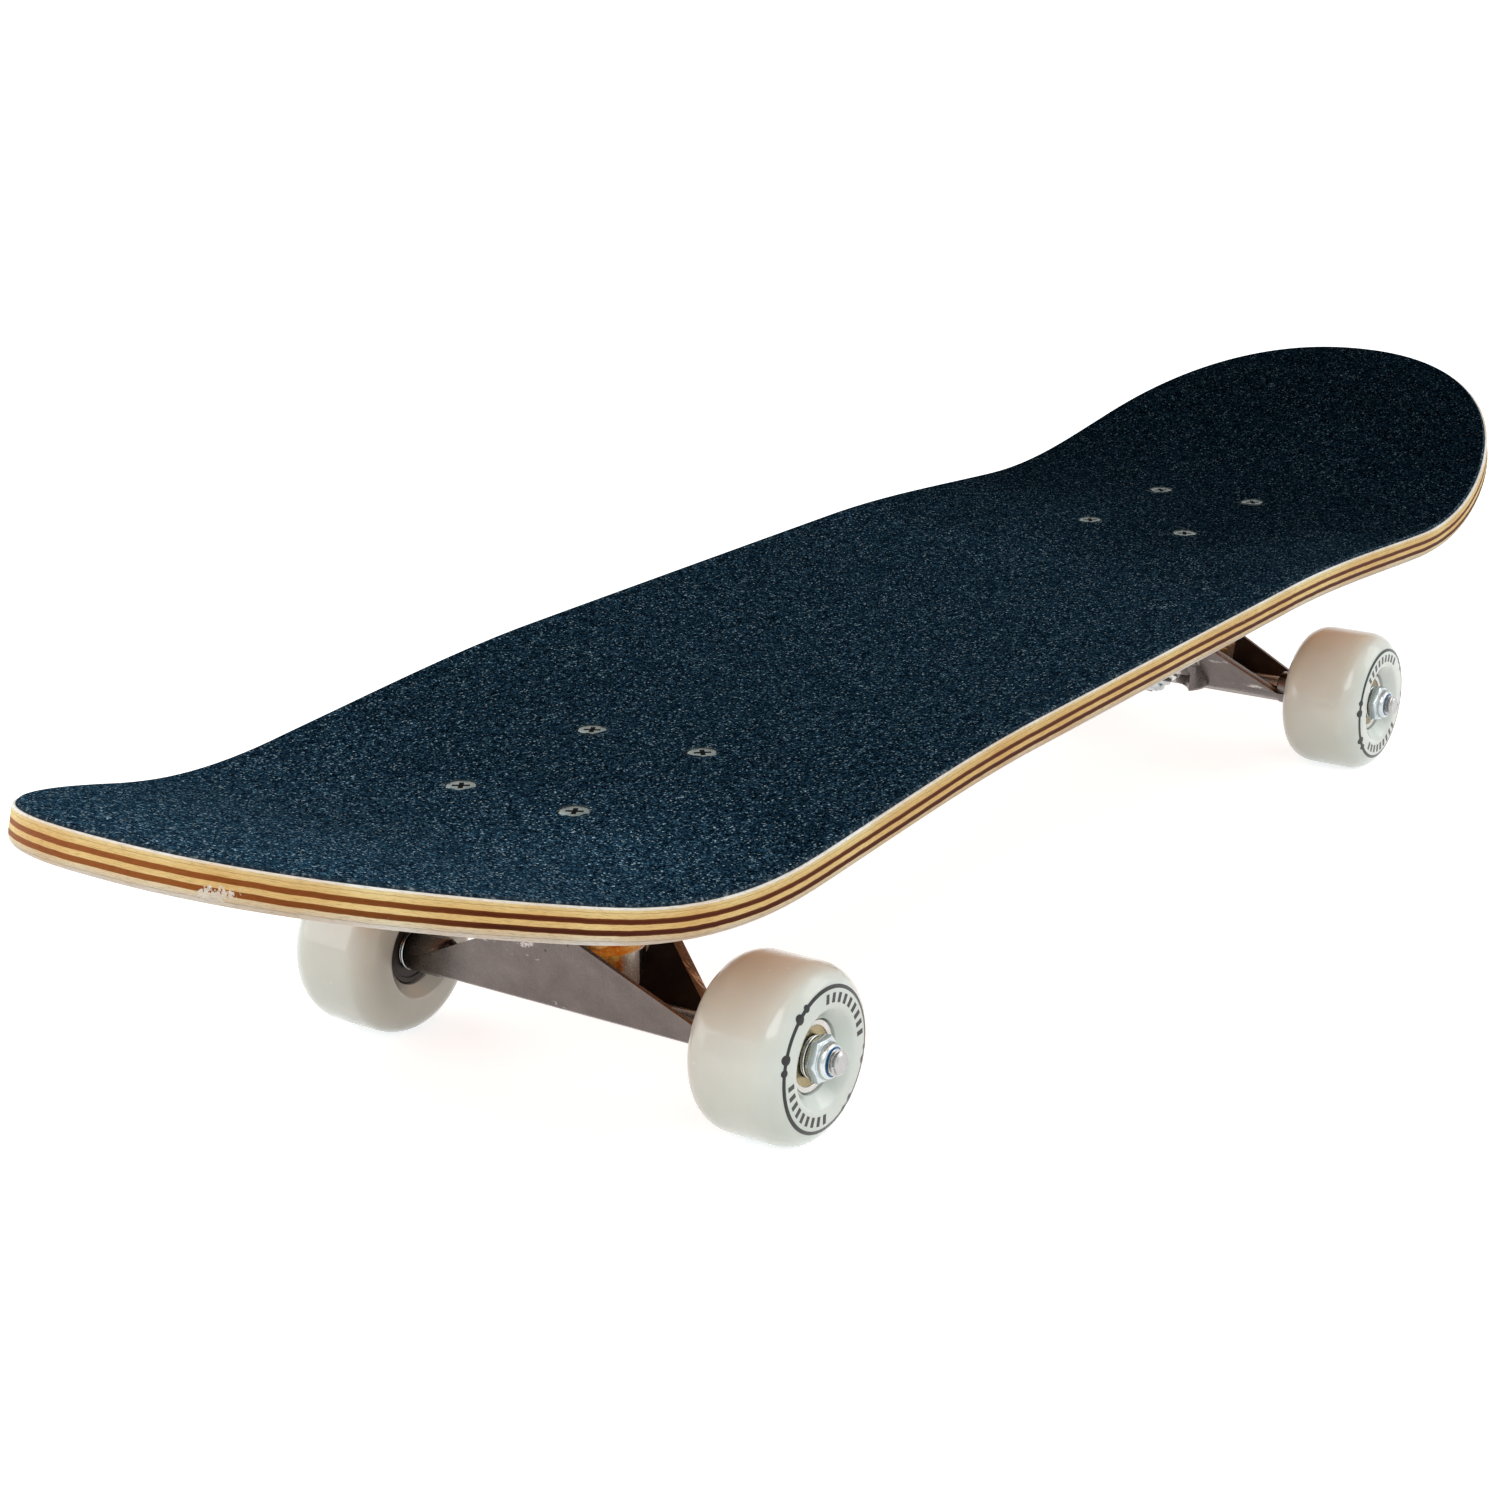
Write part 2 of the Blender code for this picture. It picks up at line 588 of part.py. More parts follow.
def nut_mesh(flats, height, shaft_radius):
    """A lock nut on Z, from height 0: a hexagon with a round collar over it."""
    bore = outside(shaft_radius + FIT_GAP, NUT_FACETS)
    hexagon = NUT_HEX_SHARE * height
    collar = NUT_COLLAR_SHARE * flats
    chamfer = NUT_CHAMFER
    return lofted([
        ring(bore, 0.0, NUT_FACETS),
        hex_ring(flats - 2 * chamfer, 0.0),
        hex_ring(flats, chamfer),
        hex_ring(flats, hexagon),
        ring(collar, hexagon + chamfer, NUT_FACETS),
        ring(collar - chamfer, height, NUT_FACETS),
        ring(bore, height, NUT_FACETS),
    ], bored=True)


def build_deck_bolts():
    """Eight bolts through deck and baseplates, and their lock nuts."""
    bolt_bm = bolt_mesh()
    nut_bm = nut_mesh(DECK_NUT_FLATS, DECK_NUT_HEIGHT, BOLT_RADIUS)
    bolt_data = bpy.data.meshes.new("deck_bolt")
    nut_data = bpy.data.meshes.new("deck_nut")
    bolt_bm.to_mesh(bolt_data)
    nut_bm.to_mesh(nut_data)
    bolt_bm.free()
    nut_bm.free()
    nut_top = AXLE_Z + TRUCK_SEAT_HEIGHT - PLATE_THICKNESS - FIT_GAP
    for truck, number, x, y in bolt_places():
        mesh_object(f"deck_bolt_{truck}_{number}", bolt_data, BOLT_STEEL,
                    location=(x, y, bolt_head_z(x, y)))
        mesh_object(f"deck_nut_{truck}_{number}", nut_data, ZINC,
                    location=(x, y, nut_top), rotation=(math.pi, 0.0, 0.0))


# ---------------------------------------------------------------- baseplate, cup and kingpin


def plate_outline():
    """The baseplate's rounded rectangle in the truck's frame."""
    points = []
    for i, (sx, sy) in enumerate(((1, 1), (-1, 1), (-1, -1), (1, -1))):
        centre_x = BOLT_CENTRE_OFFSET + sx * (PLATE_LENGTH / 2 - PLATE_CORNER)
        centre_y = sy * (PLATE_WIDTH / 2 - PLATE_CORNER)
        for step in range(PLATE_CORNER_STEPS + 1):
            angle = math.pi / 2 * (i + step / PLATE_CORNER_STEPS)
            points.append(Vector((centre_x + PLATE_CORNER * math.cos(angle),
                                  centre_y + PLATE_CORNER * math.sin(angle), 0.0)))
    return points


def build_baseplate(truck, carrier):
    """The flat plate with the kingpin's boss and the pivot's boss under it."""
    top = TRUCK_SEAT_HEIGHT
    underside = top - PLATE_THICKNESS
    outline = plate_outline()
    plate = finish_object(f"baseplate_{truck}", lofted([
        [point + Vector((0, 0, underside)) for point in outline],
        [point + Vector((0, 0, top)) for point in outline],
    ], bored=False), PLATE, carrier)

    above = top + CUTTER_REACH
    into_plate = underside + 0.5 * PLATE_THICKNESS
    outer_edge = BOLT_CENTRE_OFFSET + PLATE_LENGTH / 2 - PLATE_EDGE_LAND
    mouth = ALONG_STEER @ Vector((0.0, 0.0, PIVOT_MOUTH))
    combine(plate, "UNION", below(place(rod(BOSS_RADIUS, BOSS_BOTTOM, HEAD_SEAT + BOSS_ROOT,
                                            RING_FACETS), ALONG_KINGPIN), into_plate))
    half_facet = Matrix.Rotation(math.pi / RING_FACETS, 4, "Z")
    combine(plate, "UNION", below(place(rod(PIVOT_BOSS_RADIUS, PIVOT_MOUTH, PIVOT_BOSS_END,
                                            RING_FACETS), ALONG_STEER, half_facet), into_plate))
    combine(plate, "UNION", prism([
        (mouth.x + NECK_INSIDE, into_plate),
        (mouth.x + NECK_INSIDE + NECK_SLOPE_LENGTH, mouth.z + NECK_FOOT_RISE),
        (outer_edge, mouth.z + NECK_OUTER_RISE),
        (outer_edge, into_plate),
    ], NECK_HALF_WIDTH))

    head_recess = outside(KINGPIN_HEAD_FLATS / math.sqrt(3) + FIT_GAP, BUSHING_FACETS)
    hole_start = BOSS_BOTTOM - ROOT_OVERLAP
    cuts = [
        place(revolved([(0.0, hole_start), (KINGPIN_HOLE_RADIUS, hole_start),
                        (KINGPIN_HOLE_RADIUS, HEAD_SEAT), (head_recess, HEAD_SEAT),
                        (head_recess, HEAD_SEAT + CUTTER_REACH),
                        (0.0, HEAD_SEAT + CUTTER_REACH)], BUSHING_FACETS), ALONG_KINGPIN),
        place(rod(SOCKET_RADIUS, PIVOT_MOUTH - ROOT_OVERLAP, SOCKET_END, BUSHING_FACETS),
              ALONG_STEER),
    ]
    for along in (1, -1):
        for across in (1, -1):
            centre = (BOLT_CENTRE_OFFSET + along * BOLT_SPACING_LONG / 2,
                      across * BOLT_SPACING_WIDE / 2, 0.0)
            cuts.append(place(rod(BOLT_RADIUS + BOLT_CLEARANCE, 0.0, above, SHAFT_FACETS),
                              Matrix.Translation(centre)))
    for cutter in cuts:
        combine(plate, "DIFFERENCE", cutter)


def build_pivot_cup(truck, carrier):
    """The plastic cup in the pivot's socket, round the hanger's nub."""
    flange = CUP_RADIUS + CUP_FLANGE_OVERHANG
    tip_radius = NUB_TIP_RADIUS + FIT_GAP
    cup = revolved([
        (0.0, CUP_END),
        (CUP_RADIUS - CUP_CHAMFER, CUP_END),
        (CUP_RADIUS, CUP_END - CUP_CHAMFER),
        (CUP_RADIUS, CUP_FLANGE_START + CUP_FLANGE),
        (flange, CUP_FLANGE_START + CUP_FLANGE),
        (flange, CUP_FLANGE_START),
        (CUP_BORE_RADIUS + FIT_GAP, CUP_FLANGE_START),
        (tip_radius + FIT_GAP, NUB_END - NUB_TIP_RADIUS * NUB_TIP_SHARE + FIT_GAP),
        (tip_radius * NUB_FACE_SHARE, NUB_END + FIT_GAP),
        (0.0, NUB_END + FIT_GAP),
    ], BUSHING_FACETS)
    finish_object(f"pivot_cup_{truck}", cup, CUP_NYLON, carrier,
                  RING_CENTRE, (0.0, math.pi / 2 - STEER_ANGLE, 0.0))


def build_kingpin(truck, carrier):
    """The tilted bolt with its nut, two bushings and two cup washers."""
    tilt = (0.0, KINGPIN_TILT, 0.0)
    head_bottom = HEAD_SEAT + FIT_GAP
    head_top = head_bottom + KINGPIN_HEAD_HEIGHT
    chamfer = KINGPIN_CHAMFER
    kingpin = lofted([
        hex_ring(KINGPIN_HEAD_FLATS - 2 * chamfer, head_top),
        hex_ring(KINGPIN_HEAD_FLATS, head_top - chamfer),
        hex_ring(KINGPIN_HEAD_FLATS, head_bottom),
        ring(KINGPIN_RADIUS, head_bottom, NUT_FACETS),
        ring(KINGPIN_RADIUS, KINGPIN_BOTTOM + chamfer, NUT_FACETS),
        ring(KINGPIN_RADIUS - chamfer, KINGPIN_BOTTOM, NUT_FACETS),
    ], bored=False)
    finish_object(f"kingpin_{truck}", kingpin, ZINC, carrier, RING_CENTRE, tilt)

    nut = place(nut_mesh(KINGPIN_HEAD_FLATS, KINGPIN_NUT_HEIGHT, KINGPIN_RADIUS),
                Matrix.Translation((0, 0, KINGPIN_NUT_TOP)), Matrix.Rotation(math.pi, 4, "X"))
    finish_object(f"kingpin_nut_{truck}", nut, ZINC, carrier, RING_CENTRE, tilt)

    bore = KINGPIN_HOLE_RADIUS
    chamfer = BUSHING_CHAMFER
    top = BOARD_BUSHING_BOTTOM + BOARD_BUSHING_HEIGHT
    middle = BOARD_BUSHING_BOTTOM + BOARD_BUSHING_HEIGHT / 2
    barrel = revolved([
        (bore, BOARD_BUSHING_BOTTOM),
        (BOARD_BUSHING_RADIUS - chamfer, BOARD_BUSHING_BOTTOM),
        (BOARD_BUSHING_RADIUS - BUSHING_BULGE, BOARD_BUSHING_BOTTOM + chamfer),
        (BOARD_BUSHING_RADIUS, middle),
        (BOARD_BUSHING_RADIUS - BUSHING_BULGE, top - chamfer),
        (BOARD_BUSHING_RADIUS - chamfer, top),
        (bore, top),
    ], BUSHING_FACETS)
    finish_object(f"bushing_board_side_{truck}", barrel, BUSHING_URETHANE, carrier,
                  RING_CENTRE, tilt)
    cone = revolved([
        (bore, ROAD_BUSHING_TOP),
        (ROAD_BUSHING_RADIUS - chamfer, ROAD_BUSHING_TOP),
        (ROAD_BUSHING_RADIUS, ROAD_BUSHING_TOP - chamfer),
        (ROAD_BUSHING_RADIUS, ROAD_BUSHING_TOP - ROAD_BUSHING_SKIRT),
        (ROAD_BUSHING_SMALL_RADIUS, ROAD_BUSHING_BOTTOM),
        (bore, ROAD_BUSHING_BOTTOM),
    ], BUSHING_FACETS)
    finish_object(f"bushing_road_side_{truck}", cone, BUSHING_URETHANE, carrier,
                  RING_CENTRE, tilt)

    for side, radius, bottom in (("board", BOARD_WASHER_RADIUS, BOARD_WASHER_BOTTOM),
                                 ("road", ROAD_WASHER_RADIUS,
                                  ROAD_WASHER_TOP - WASHER_THICKNESS)):
        washer = lofted([ring(bore, bottom, BUSHING_FACETS), ring(radius, bottom, BUSHING_FACETS),
                         ring(radius, bottom + WASHER_THICKNESS, BUSHING_FACETS),
                         ring(bore, bottom + WASHER_THICKNESS, BUSHING_FACETS)], bored=True)
        finish_object(f"cup_washer_{side}_side_{truck}", washer, ZINC, carrier,
                      RING_CENTRE, tilt)


# ---------------------------------------------------------------- hanger and axle


def wall_reach(peak, end, end_height, y):
    """The top outer corner of a channel wall at y: straight from its peak to its end."""
    share = min(max(abs(y) - peak.y, 0.0) / (end - peak.y), 1.0)
    z = peak.z + (end_height - peak.z) * share
    lean = (abs(peak.x) - CHANNEL_HALF_FOOT) / (peak.z - CHANNEL_BOTTOM)
    x = CHANNEL_HALF_FOOT + (z - CHANNEL_BOTTOM) * lean
    return math.copysign(x, peak.x), z


def channel_section(y):
    """The hanger's open channel, cut across at y."""
    outer_x, outer_z = wall_reach(OUTER_WALL_PEAK, WALL_END, OUTER_WALL_END_HEIGHT, y)
    inner_x, inner_z = wall_reach(INNER_WALL_PEAK, INNER_WALL_END, INNER_WALL_END_HEIGHT, y)
    floor_side = CHANNEL_HALF_FLOOR
    outline = [
        (CHANNEL_HALF_FOOT, CHANNEL_BOTTOM),
        (outer_x, outer_z),
        (outer_x - OUTER_WALL_THICKNESS, outer_z),
        (floor_side, CHANNEL_FLOOR),
        (-floor_side, CHANNEL_FLOOR),
        (inner_x + INNER_WALL_THICKNESS, inner_z),
        (inner_x, inner_z),
        (-CHANNEL_HALF_FOOT, CHANNEL_BOTTOM),
        (-CHANNEL_HALF_BELLY, CHANNEL_BELLY),
        (CHANNEL_HALF_BELLY, CHANNEL_BELLY),
    ]
    return [Vector((x, y, z)) for x, z in outline]


def arm_outline():
    """Side outline of the arm that carries the pivot nub, kept clear of the bushing."""
    lean = (OUTER_WALL_PEAK.x - CHANNEL_HALF_FOOT) / (OUTER_WALL_PEAK.z - CHANNEL_BOTTOM)
    flush_x = CHANNEL_HALF_FOOT + (ARM_FLUSH_HEIGHT - CHANNEL_BOTTOM) * lean
    lower = ALONG_STEER @ Vector((NUB_RADIUS, 0.0, NUB_START))
    upper = ALONG_STEER @ Vector((-NUB_RADIUS, 0.0, NUB_START))
    clear = RING_RADIUS - ARM_INTO_RING
    shoulder = ALONG_KINGPIN @ Vector((clear, 0.0, ARM_SHOULDER))
    root = ALONG_KINGPIN @ Vector((clear, 0.0, RING_REACH_UP - ARM_INTO_RING))
    return [(0.0, CHANNEL_BOTTOM), (CHANNEL_HALF_FOOT, CHANNEL_BOTTOM), (flush_x, ARM_FLUSH_HEIGHT),
            (lower.x, lower.z), (upper.x, upper.z), (shoulder.x, shoulder.z), (root.x, root.z)]


def build_hanger(truck, carrier):
    """The cast hanger: an open channel with the ring, the pivot nub and the axle's ends."""
    to_origin = Matrix.Translation(-RING_CENTRE)
    half = (INNER_WALL_PEAK.y, INNER_WALL_END, WALL_END)
    stations = [-y for y in reversed(half)] + [0.0] + list(half)
    channel = lofted([channel_section(y) for y in stations], bored=False)
    bmesh.ops.triangulate(channel, faces=channel.faces)
    hanger = finish_object(f"hanger_{truck}", place(channel, to_origin), CAST, carrier)

    barrel = rod(RING_RADIUS, -RING_REACH_DOWN, RING_REACH_UP, RING_FACETS)
    combine(hanger, "UNION", place(barrel, to_origin, ALONG_KINGPIN))
    combine(hanger, "UNION", place(prism(arm_outline(), ARM_HALF_WIDTH), to_origin))
    nub = revolved([
        (0.0, NUB_START - ROOT_OVERLAP), (NUB_RADIUS, NUB_START - ROOT_OVERLAP),
        (NUB_RADIUS, NUB_START), (NUB_TIP_RADIUS, NUB_END - NUB_TIP_RADIUS * NUB_TIP_SHARE),
        (NUB_TIP_RADIUS * NUB_FACE_SHARE, NUB_END),
        (0.0, NUB_END)], BUSHING_FACETS)
    combine(hanger, "UNION", place(nub, to_origin, ALONG_STEER))
    combine(hanger, "UNION", place(joined([
        place(rod(END_BLOCK_RADIUS, side * END_BLOCK_START, side * HANGER_HALF_LENGTH,
                  BUSHING_FACETS), ALONG_AXLE)
        for side in (1, -1)]), to_origin))

    reach = CUTTER_REACH
    board_seat = rod(outside(BOARD_BUSHING_RADIUS + SEAT_CLEARANCE, BUSHING_FACETS),
                     RING_WEB_HALF, reach, BUSHING_FACETS)
    road_seat = rod(outside(ROAD_BUSHING_RADIUS + SEAT_CLEARANCE, BUSHING_FACETS),
                    -reach, -RING_WEB_HALF, BUSHING_FACETS)
    pin_hole = rod(RING_HOLE_RADIUS, -reach, reach, BUSHING_FACETS)
    bore = rod(AXLE_BORE_RADIUS, -AXLE_HALF_LENGTH, AXLE_HALF_LENGTH, SHAFT_FACETS)
    combine(hanger, "DIFFERENCE", place(board_seat, to_origin, ALONG_KINGPIN))
    combine(hanger, "DIFFERENCE", place(road_seat, to_origin, ALONG_KINGPIN))
    combine(hanger, "DIFFERENCE", place(pin_hole, to_origin, ALONG_KINGPIN))
    combine(hanger, "DIFFERENCE", place(bore, to_origin, ALONG_AXLE))

    axle_bar = revolved([
        (0.0, -AXLE_HALF_LENGTH), (AXLE_RADIUS - AXLE_CHAMFER, -AXLE_HALF_LENGTH),
        (AXLE_RADIUS, AXLE_CHAMFER - AXLE_HALF_LENGTH),
        (AXLE_RADIUS, AXLE_HALF_LENGTH - AXLE_CHAMFER),
        (AXLE_RADIUS - AXLE_CHAMFER, AXLE_HALF_LENGTH), (0.0, AXLE_HALF_LENGTH)], SHAFT_FACETS)
    finish_object(f"axle_{truck}", axle_bar, STEEL, carrier, -RING_CENTRE,
                  (-math.pi / 2, 0.0, 0.0))


# ---------------------------------------------------------------- wheels and bearings


def wheel_mesh():
    """A urethane wheel on Z: rounded edges, dished faces and two bearing pockets."""
    half = WHEEL_WIDTH / 2
    pocket = outside(BEARING_RADIUS + FIT_GAP, WHEEL_FACETS)
    pocket_depth = SPACER_LENGTH / 2 - FIT_GAP
    mouth = SPACER_LENGTH / 2 + BEARING_WIDTH + POCKET_LAND
    side = [(HUB_SHOULDER_RADIUS, pocket_depth), (pocket, pocket_depth), (pocket, mouth),
            (WHEEL_DISH_RADIUS, half)]
    for i in range(WHEEL_EDGE_STEPS + 1):
        angle = math.pi / 2 * i / WHEEL_EDGE_STEPS
        radius = WHEEL_RADIUS - WHEEL_EDGE_INWARD * (1 - math.sin(angle))
        side.append((radius, half - WHEEL_EDGE_ALONG * (1 - math.cos(angle))))
    profile = side + [(radius, -height) for radius, height in reversed(side)]
    return revolved(profile, WHEEL_FACETS, math.pi / WHEEL_FACETS)


def outer_race_mesh():
    """A bearing's outer ring with its two shields, on Z."""
    half = BEARING_WIDTH / 2
    shield = half - SHIELD_RECESS
    bore = outside(INNER_RACE_RADIUS + FIT_GAP, RACE_FACETS)
    inner = BEARING_RADIUS - OUTER_RACE_WALL
    side = [(bore, shield), (inner, shield), (inner, half), (BEARING_RADIUS, half)]
    return revolved(side + [(radius, -height) for radius, height in reversed(side)], RACE_FACETS)


def stack_mesh():
    """What is clamped on the axle inside a wheel: inner rings, spacer and speed washers."""
    bore = AXLE_BORE_RADIUS
    spacer = SPACER_LENGTH / 2
    race = spacer + BEARING_WIDTH
    side = [(SPACER_RADIUS, spacer), (INNER_RACE_RADIUS, spacer), (INNER_RACE_RADIUS, race),
            (SPEED_WASHER_RADIUS, race), (SPEED_WASHER_RADIUS, STACK_HALF_LENGTH),
            (bore, STACK_HALF_LENGTH)]
    profile = side + [(radius, -height) for radius, height in reversed(side)]
    return revolved(profile, RACE_FACETS)


def shared_mesh(name, bm, rounded=False):
    """A mesh for several copies."""
    mesh = bpy.data.meshes.new(name)
    bm.to_mesh(mesh)
    bm.free()
    if rounded:
        smooth(mesh)
    return mesh


WHEEL_DATA = shared_mesh("wheel", wheel_mesh(), rounded=True)
RACE_DATA = shared_mesh("outer_race", outer_race_mesh(), rounded=True)
STACK_DATA = shared_mesh("inner_stack", stack_mesh(), rounded=True)
AXLE_NUT_DATA = shared_mesh("axle_nut", nut_mesh(AXLE_NUT_FLATS, AXLE_NUT_HEIGHT, AXLE_RADIUS))


def build_wheel(corner, side, carrier):
    """One wheel with its two bearings, what clamps them, and the axle nut."""
    facing = (-side * math.pi / 2, 0.0, 0.0)

    def on_axle(distance):
        return Vector((0.0, side * distance, 0.0)) - RING_CENTRE

    mesh_object(f"wheel_{corner}", WHEEL_DATA, WHEEL_URETHANE, carrier,
                on_axle(WHEEL_OFFSET), facing)
    for place_name, step in (("outer", 1), ("inner", -1)):
        mesh_object(f"bearing_{place_name}_{corner}", RACE_DATA, RACE_STEEL, carrier,
                    on_axle(WHEEL_OFFSET + step * BEARING_OFFSET), facing)
    mesh_object(f"inner_races_{corner}", STACK_DATA, RACE_STEEL, carrier,
                on_axle(WHEEL_OFFSET), facing)
    mesh_object(f"axle_nut_{corner}", AXLE_NUT_DATA, ZINC, carrier,
                on_axle(AXLE_NUT_START), facing)


# ---------------------------------------------------------------- the whole board

build_board()
build_deck_bolts()
for truck_name, end_sign in (("front", 1), ("rear", -1)):
    truck_frame = add_empty(f"truck_frame_{truck_name}", (end_sign * AXLE_X, 0.0, AXLE_Z),
                            turn=0.0 if end_sign > 0 else math.pi)
    steer_pivot = add_empty(f"steer_pivot_{truck_name}", RING_CENTRE, truck_frame)
    build_baseplate(truck_name, truck_frame)
    build_pivot_cup(truck_name, truck_frame)
    build_kingpin(truck_name, truck_frame)
    build_hanger(truck_name, steer_pivot)
    for side_name, side_sign in (("left", 1), ("right", -1)):
        build_wheel(f"{truck_name}_{side_name}", side_sign * end_sign, steer_pivot)
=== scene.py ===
# %% [markdown]
# # A street skateboard
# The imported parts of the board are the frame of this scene. Their sizes and places are kept,
# and each visible part gets the surface, the rounded edges and the small detail of the real
# one.
# Everything is in metres: +X points to the nose, +Y to the rider's left, +Z up.

# %% Load the frame
import math
import random

import bmesh
import bpy
from mathutils import Matrix, Vector


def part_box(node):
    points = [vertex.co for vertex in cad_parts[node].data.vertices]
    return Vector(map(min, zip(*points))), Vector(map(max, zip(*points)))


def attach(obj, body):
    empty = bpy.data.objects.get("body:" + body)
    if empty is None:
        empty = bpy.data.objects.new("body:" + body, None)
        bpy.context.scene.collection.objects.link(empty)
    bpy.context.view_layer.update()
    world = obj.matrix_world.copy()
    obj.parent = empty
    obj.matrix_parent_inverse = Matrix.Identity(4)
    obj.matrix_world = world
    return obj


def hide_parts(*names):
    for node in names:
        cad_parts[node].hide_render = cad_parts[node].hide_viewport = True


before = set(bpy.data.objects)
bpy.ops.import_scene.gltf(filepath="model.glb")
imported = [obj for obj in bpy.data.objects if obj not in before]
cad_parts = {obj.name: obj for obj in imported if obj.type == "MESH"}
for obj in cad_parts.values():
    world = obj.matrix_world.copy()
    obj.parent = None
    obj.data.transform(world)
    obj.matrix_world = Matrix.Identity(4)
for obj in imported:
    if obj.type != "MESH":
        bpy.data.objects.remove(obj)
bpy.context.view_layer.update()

# %% [markdown]
# A truck is built once, in its own frame: origin on the middle of the axle, +X away from the
# middle of the board. The front and the rear truck are the same shape, the rear one turned half
# round. Inside it, the kingpin leans 22 degrees and the steering axis rises 31 degrees, and the
# two lines cross in the middle of the hanger's ring.

# %% Places of the trucks, wheels and bolts
mm = 0.001
AXLE_LOW, AXLE_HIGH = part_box("axle_front")
AXLE_X = (AXLE_LOW.x + AXLE_HIGH.x) / 2
AXLE_Z = (AXLE_LOW.z + AXLE_HIGH.z) / 2
TRUCKS = {
    "front": Matrix.Translation((AXLE_X, 0.0, AXLE_Z)),
    "rear": Matrix.Translation((-AXLE_X, 0.0, AXLE_Z)) @ Matrix.Rotation(math.pi, 4, "Z"),
}
RING_CENTRE = Vector((-15.5 * mm, 0.0, 16.5 * mm))
KINGPIN_TILT = math.radians(22.0)
STEER_ANGLE = math.radians(31.0)
ALONG_KINGPIN = Matrix.Translation(RING_CENTRE) @ Matrix.Rotation(KINGPIN_TILT, 4, "Y")
ALONG_STEER = (Matrix.Translation(RING_CENTRE)
               @ Matrix.Rotation(math.pi / 2 - STEER_ANGLE, 4, "Y"))
ALONG_AXLE = Matrix.Rotation(-math.pi / 2, 4, "X")
WHEEL_OFFSET = 73.9 * mm    # from the middle of the axle to the middle of a wheel
PLY_STACK = 10.2 * mm       # the seven veneers together
GAP = 0.3 * mm              # between pieces that only touch
SEAT_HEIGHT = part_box("baseplate_front")[1].z - AXLE_Z
WOOD_TOP_Z = AXLE_Z + SEAT_HEIGHT + GAP + PLY_STACK
print(f"axles at x = {AXLE_X:.4f}, z = {AXLE_Z:.4f}; wood's top at z = {WOOD_TOP_Z:.4f}")


# %% [markdown]
# ## Shared tools
# A surface is a small network of nodes. One function adds a node, sets its values and links
# its sockets. Colours are written as the hex values that a paint chart would give.

# %% Colours and nodes
def paint(code):
    """An sRGB hex colour as linear values."""
    parts = [int(code[i:i + 2], 16) / 255 for i in (1, 3, 5)]
    return tuple(c / 12.92 if c <= 0.04045 else ((c + 0.055) / 1.055) ** 2.4
                 for c in parts) + (1.0,)


def add_node(tree, kind, inputs=None, stops=None, **settings):
    """Adds one node. Inputs are values or the sockets that feed them; stops fill a ramp."""
    node = tree.nodes.new("ShaderNode" + kind)
    for name, value in settings.items():
        setattr(node, name, value)
    for name, value in (inputs or {}).items():
        if isinstance(value, bpy.types.NodeSocket):
            tree.links.new(value, node.inputs[name])
        else:
            node.inputs[name].default_value = value
    if stops:
        ramp = node.color_ramp
        while len(ramp.elements) < len(stops):
            ramp.elements.new(1.0)
        for element, (place, colour) in zip(ramp.elements, stops):
            element.position = place
            element.color = paint(colour) if isinstance(colour, str) else (colour,) * 3 + (1.0,)
    return node


def new_material(name, roughness, metallic=0.0, **values):
    """A Principled material with its constants on the shader's own sockets."""
    material = bpy.data.materials.new(name)
    material.use_nodes = True
    tree = material.node_tree
    shader = tree.nodes["Principled BSDF"]
    shader.inputs["Roughness"].default_value = roughness
    shader.inputs["Metallic"].default_value = metallic
    for socket, value in values.items():
        shader.inputs[socket.replace("_", " ")].default_value = value
    coords = tree.nodes.new("ShaderNodeTexCoord").outputs["Object"]
    return material, tree, shader, coords


# %% [markdown]
# Most hardware is turned on a lathe, so one function spins a profile about Z. The others push
# an outline straight through, bridge a row of sections, and cut or join two solids.

# %% Shape tools
def lathe(profile, segments=64, closed=False):
    """A profile of (radius, height) points spun full circle about Z."""
    bm = bmesh.new()
    verts = [bm.verts.new((radius, 0.0, height)) for radius, height in profile]
    edges = [bm.edges.new(pair) for pair in zip(verts, verts[1:])]
    if closed:
        edges.append(bm.edges.new((verts[-1], verts[0])))
    bmesh.ops.spin(bm, geom=verts + edges, cent=(0, 0, 0), axis=(0, 0, 1),
                   angle=2 * math.pi, steps=segments, use_merge=True)
    bmesh.ops.remove_doubles(bm, verts=bm.verts, dist=1e-6)
    bmesh.ops.dissolve_degenerate(bm, dist=1e-7, edges=bm.edges)
    bmesh.ops.recalc_face_normals(bm, faces=bm.faces)
    return bm


def rod(radius, start, end, segments=64):
    """A round bar on Z."""
    return lathe([(0.0, start), (radius, start), (radius, end), (0.0, end)], segments)


def points_of(geometry):
    """Only the points of what an operator returned."""
    return [item for item in geometry if isinstance(item, bmesh.types.BMVert)]


def pushed(outline, push):
    """A flat outline of 3-D points pushed through by a vector."""
    bm = bmesh.new()
    face = bm.faces.new([bm.verts.new(point) for point in outline])
    moved = bmesh.ops.extrude_face_region(bm, geom=[face])["geom"]
    bmesh.ops.translate(bm, vec=push, verts=points_of(moved))
    bmesh.ops.recalc_face_normals(bm, faces=bm.faces)
    return bm


def bridged(sections):
    """A closed skin over matching sections."""
    bm = bmesh.new()
    faces = [bm.faces.new([bm.verts.new(point) for point in section]) for section in sections]
    loops = [list(face.edges) for face in faces]
    bmesh.ops.delete(bm, geom=faces[1:-1], context="FACES_ONLY")
    for near, far in zip(loops, loops[1:]):
        bmesh.ops.bridge_loops(bm, edges=near + far)
    bmesh.ops.recalc_face_normals(bm, faces=bm.faces)
    return bm


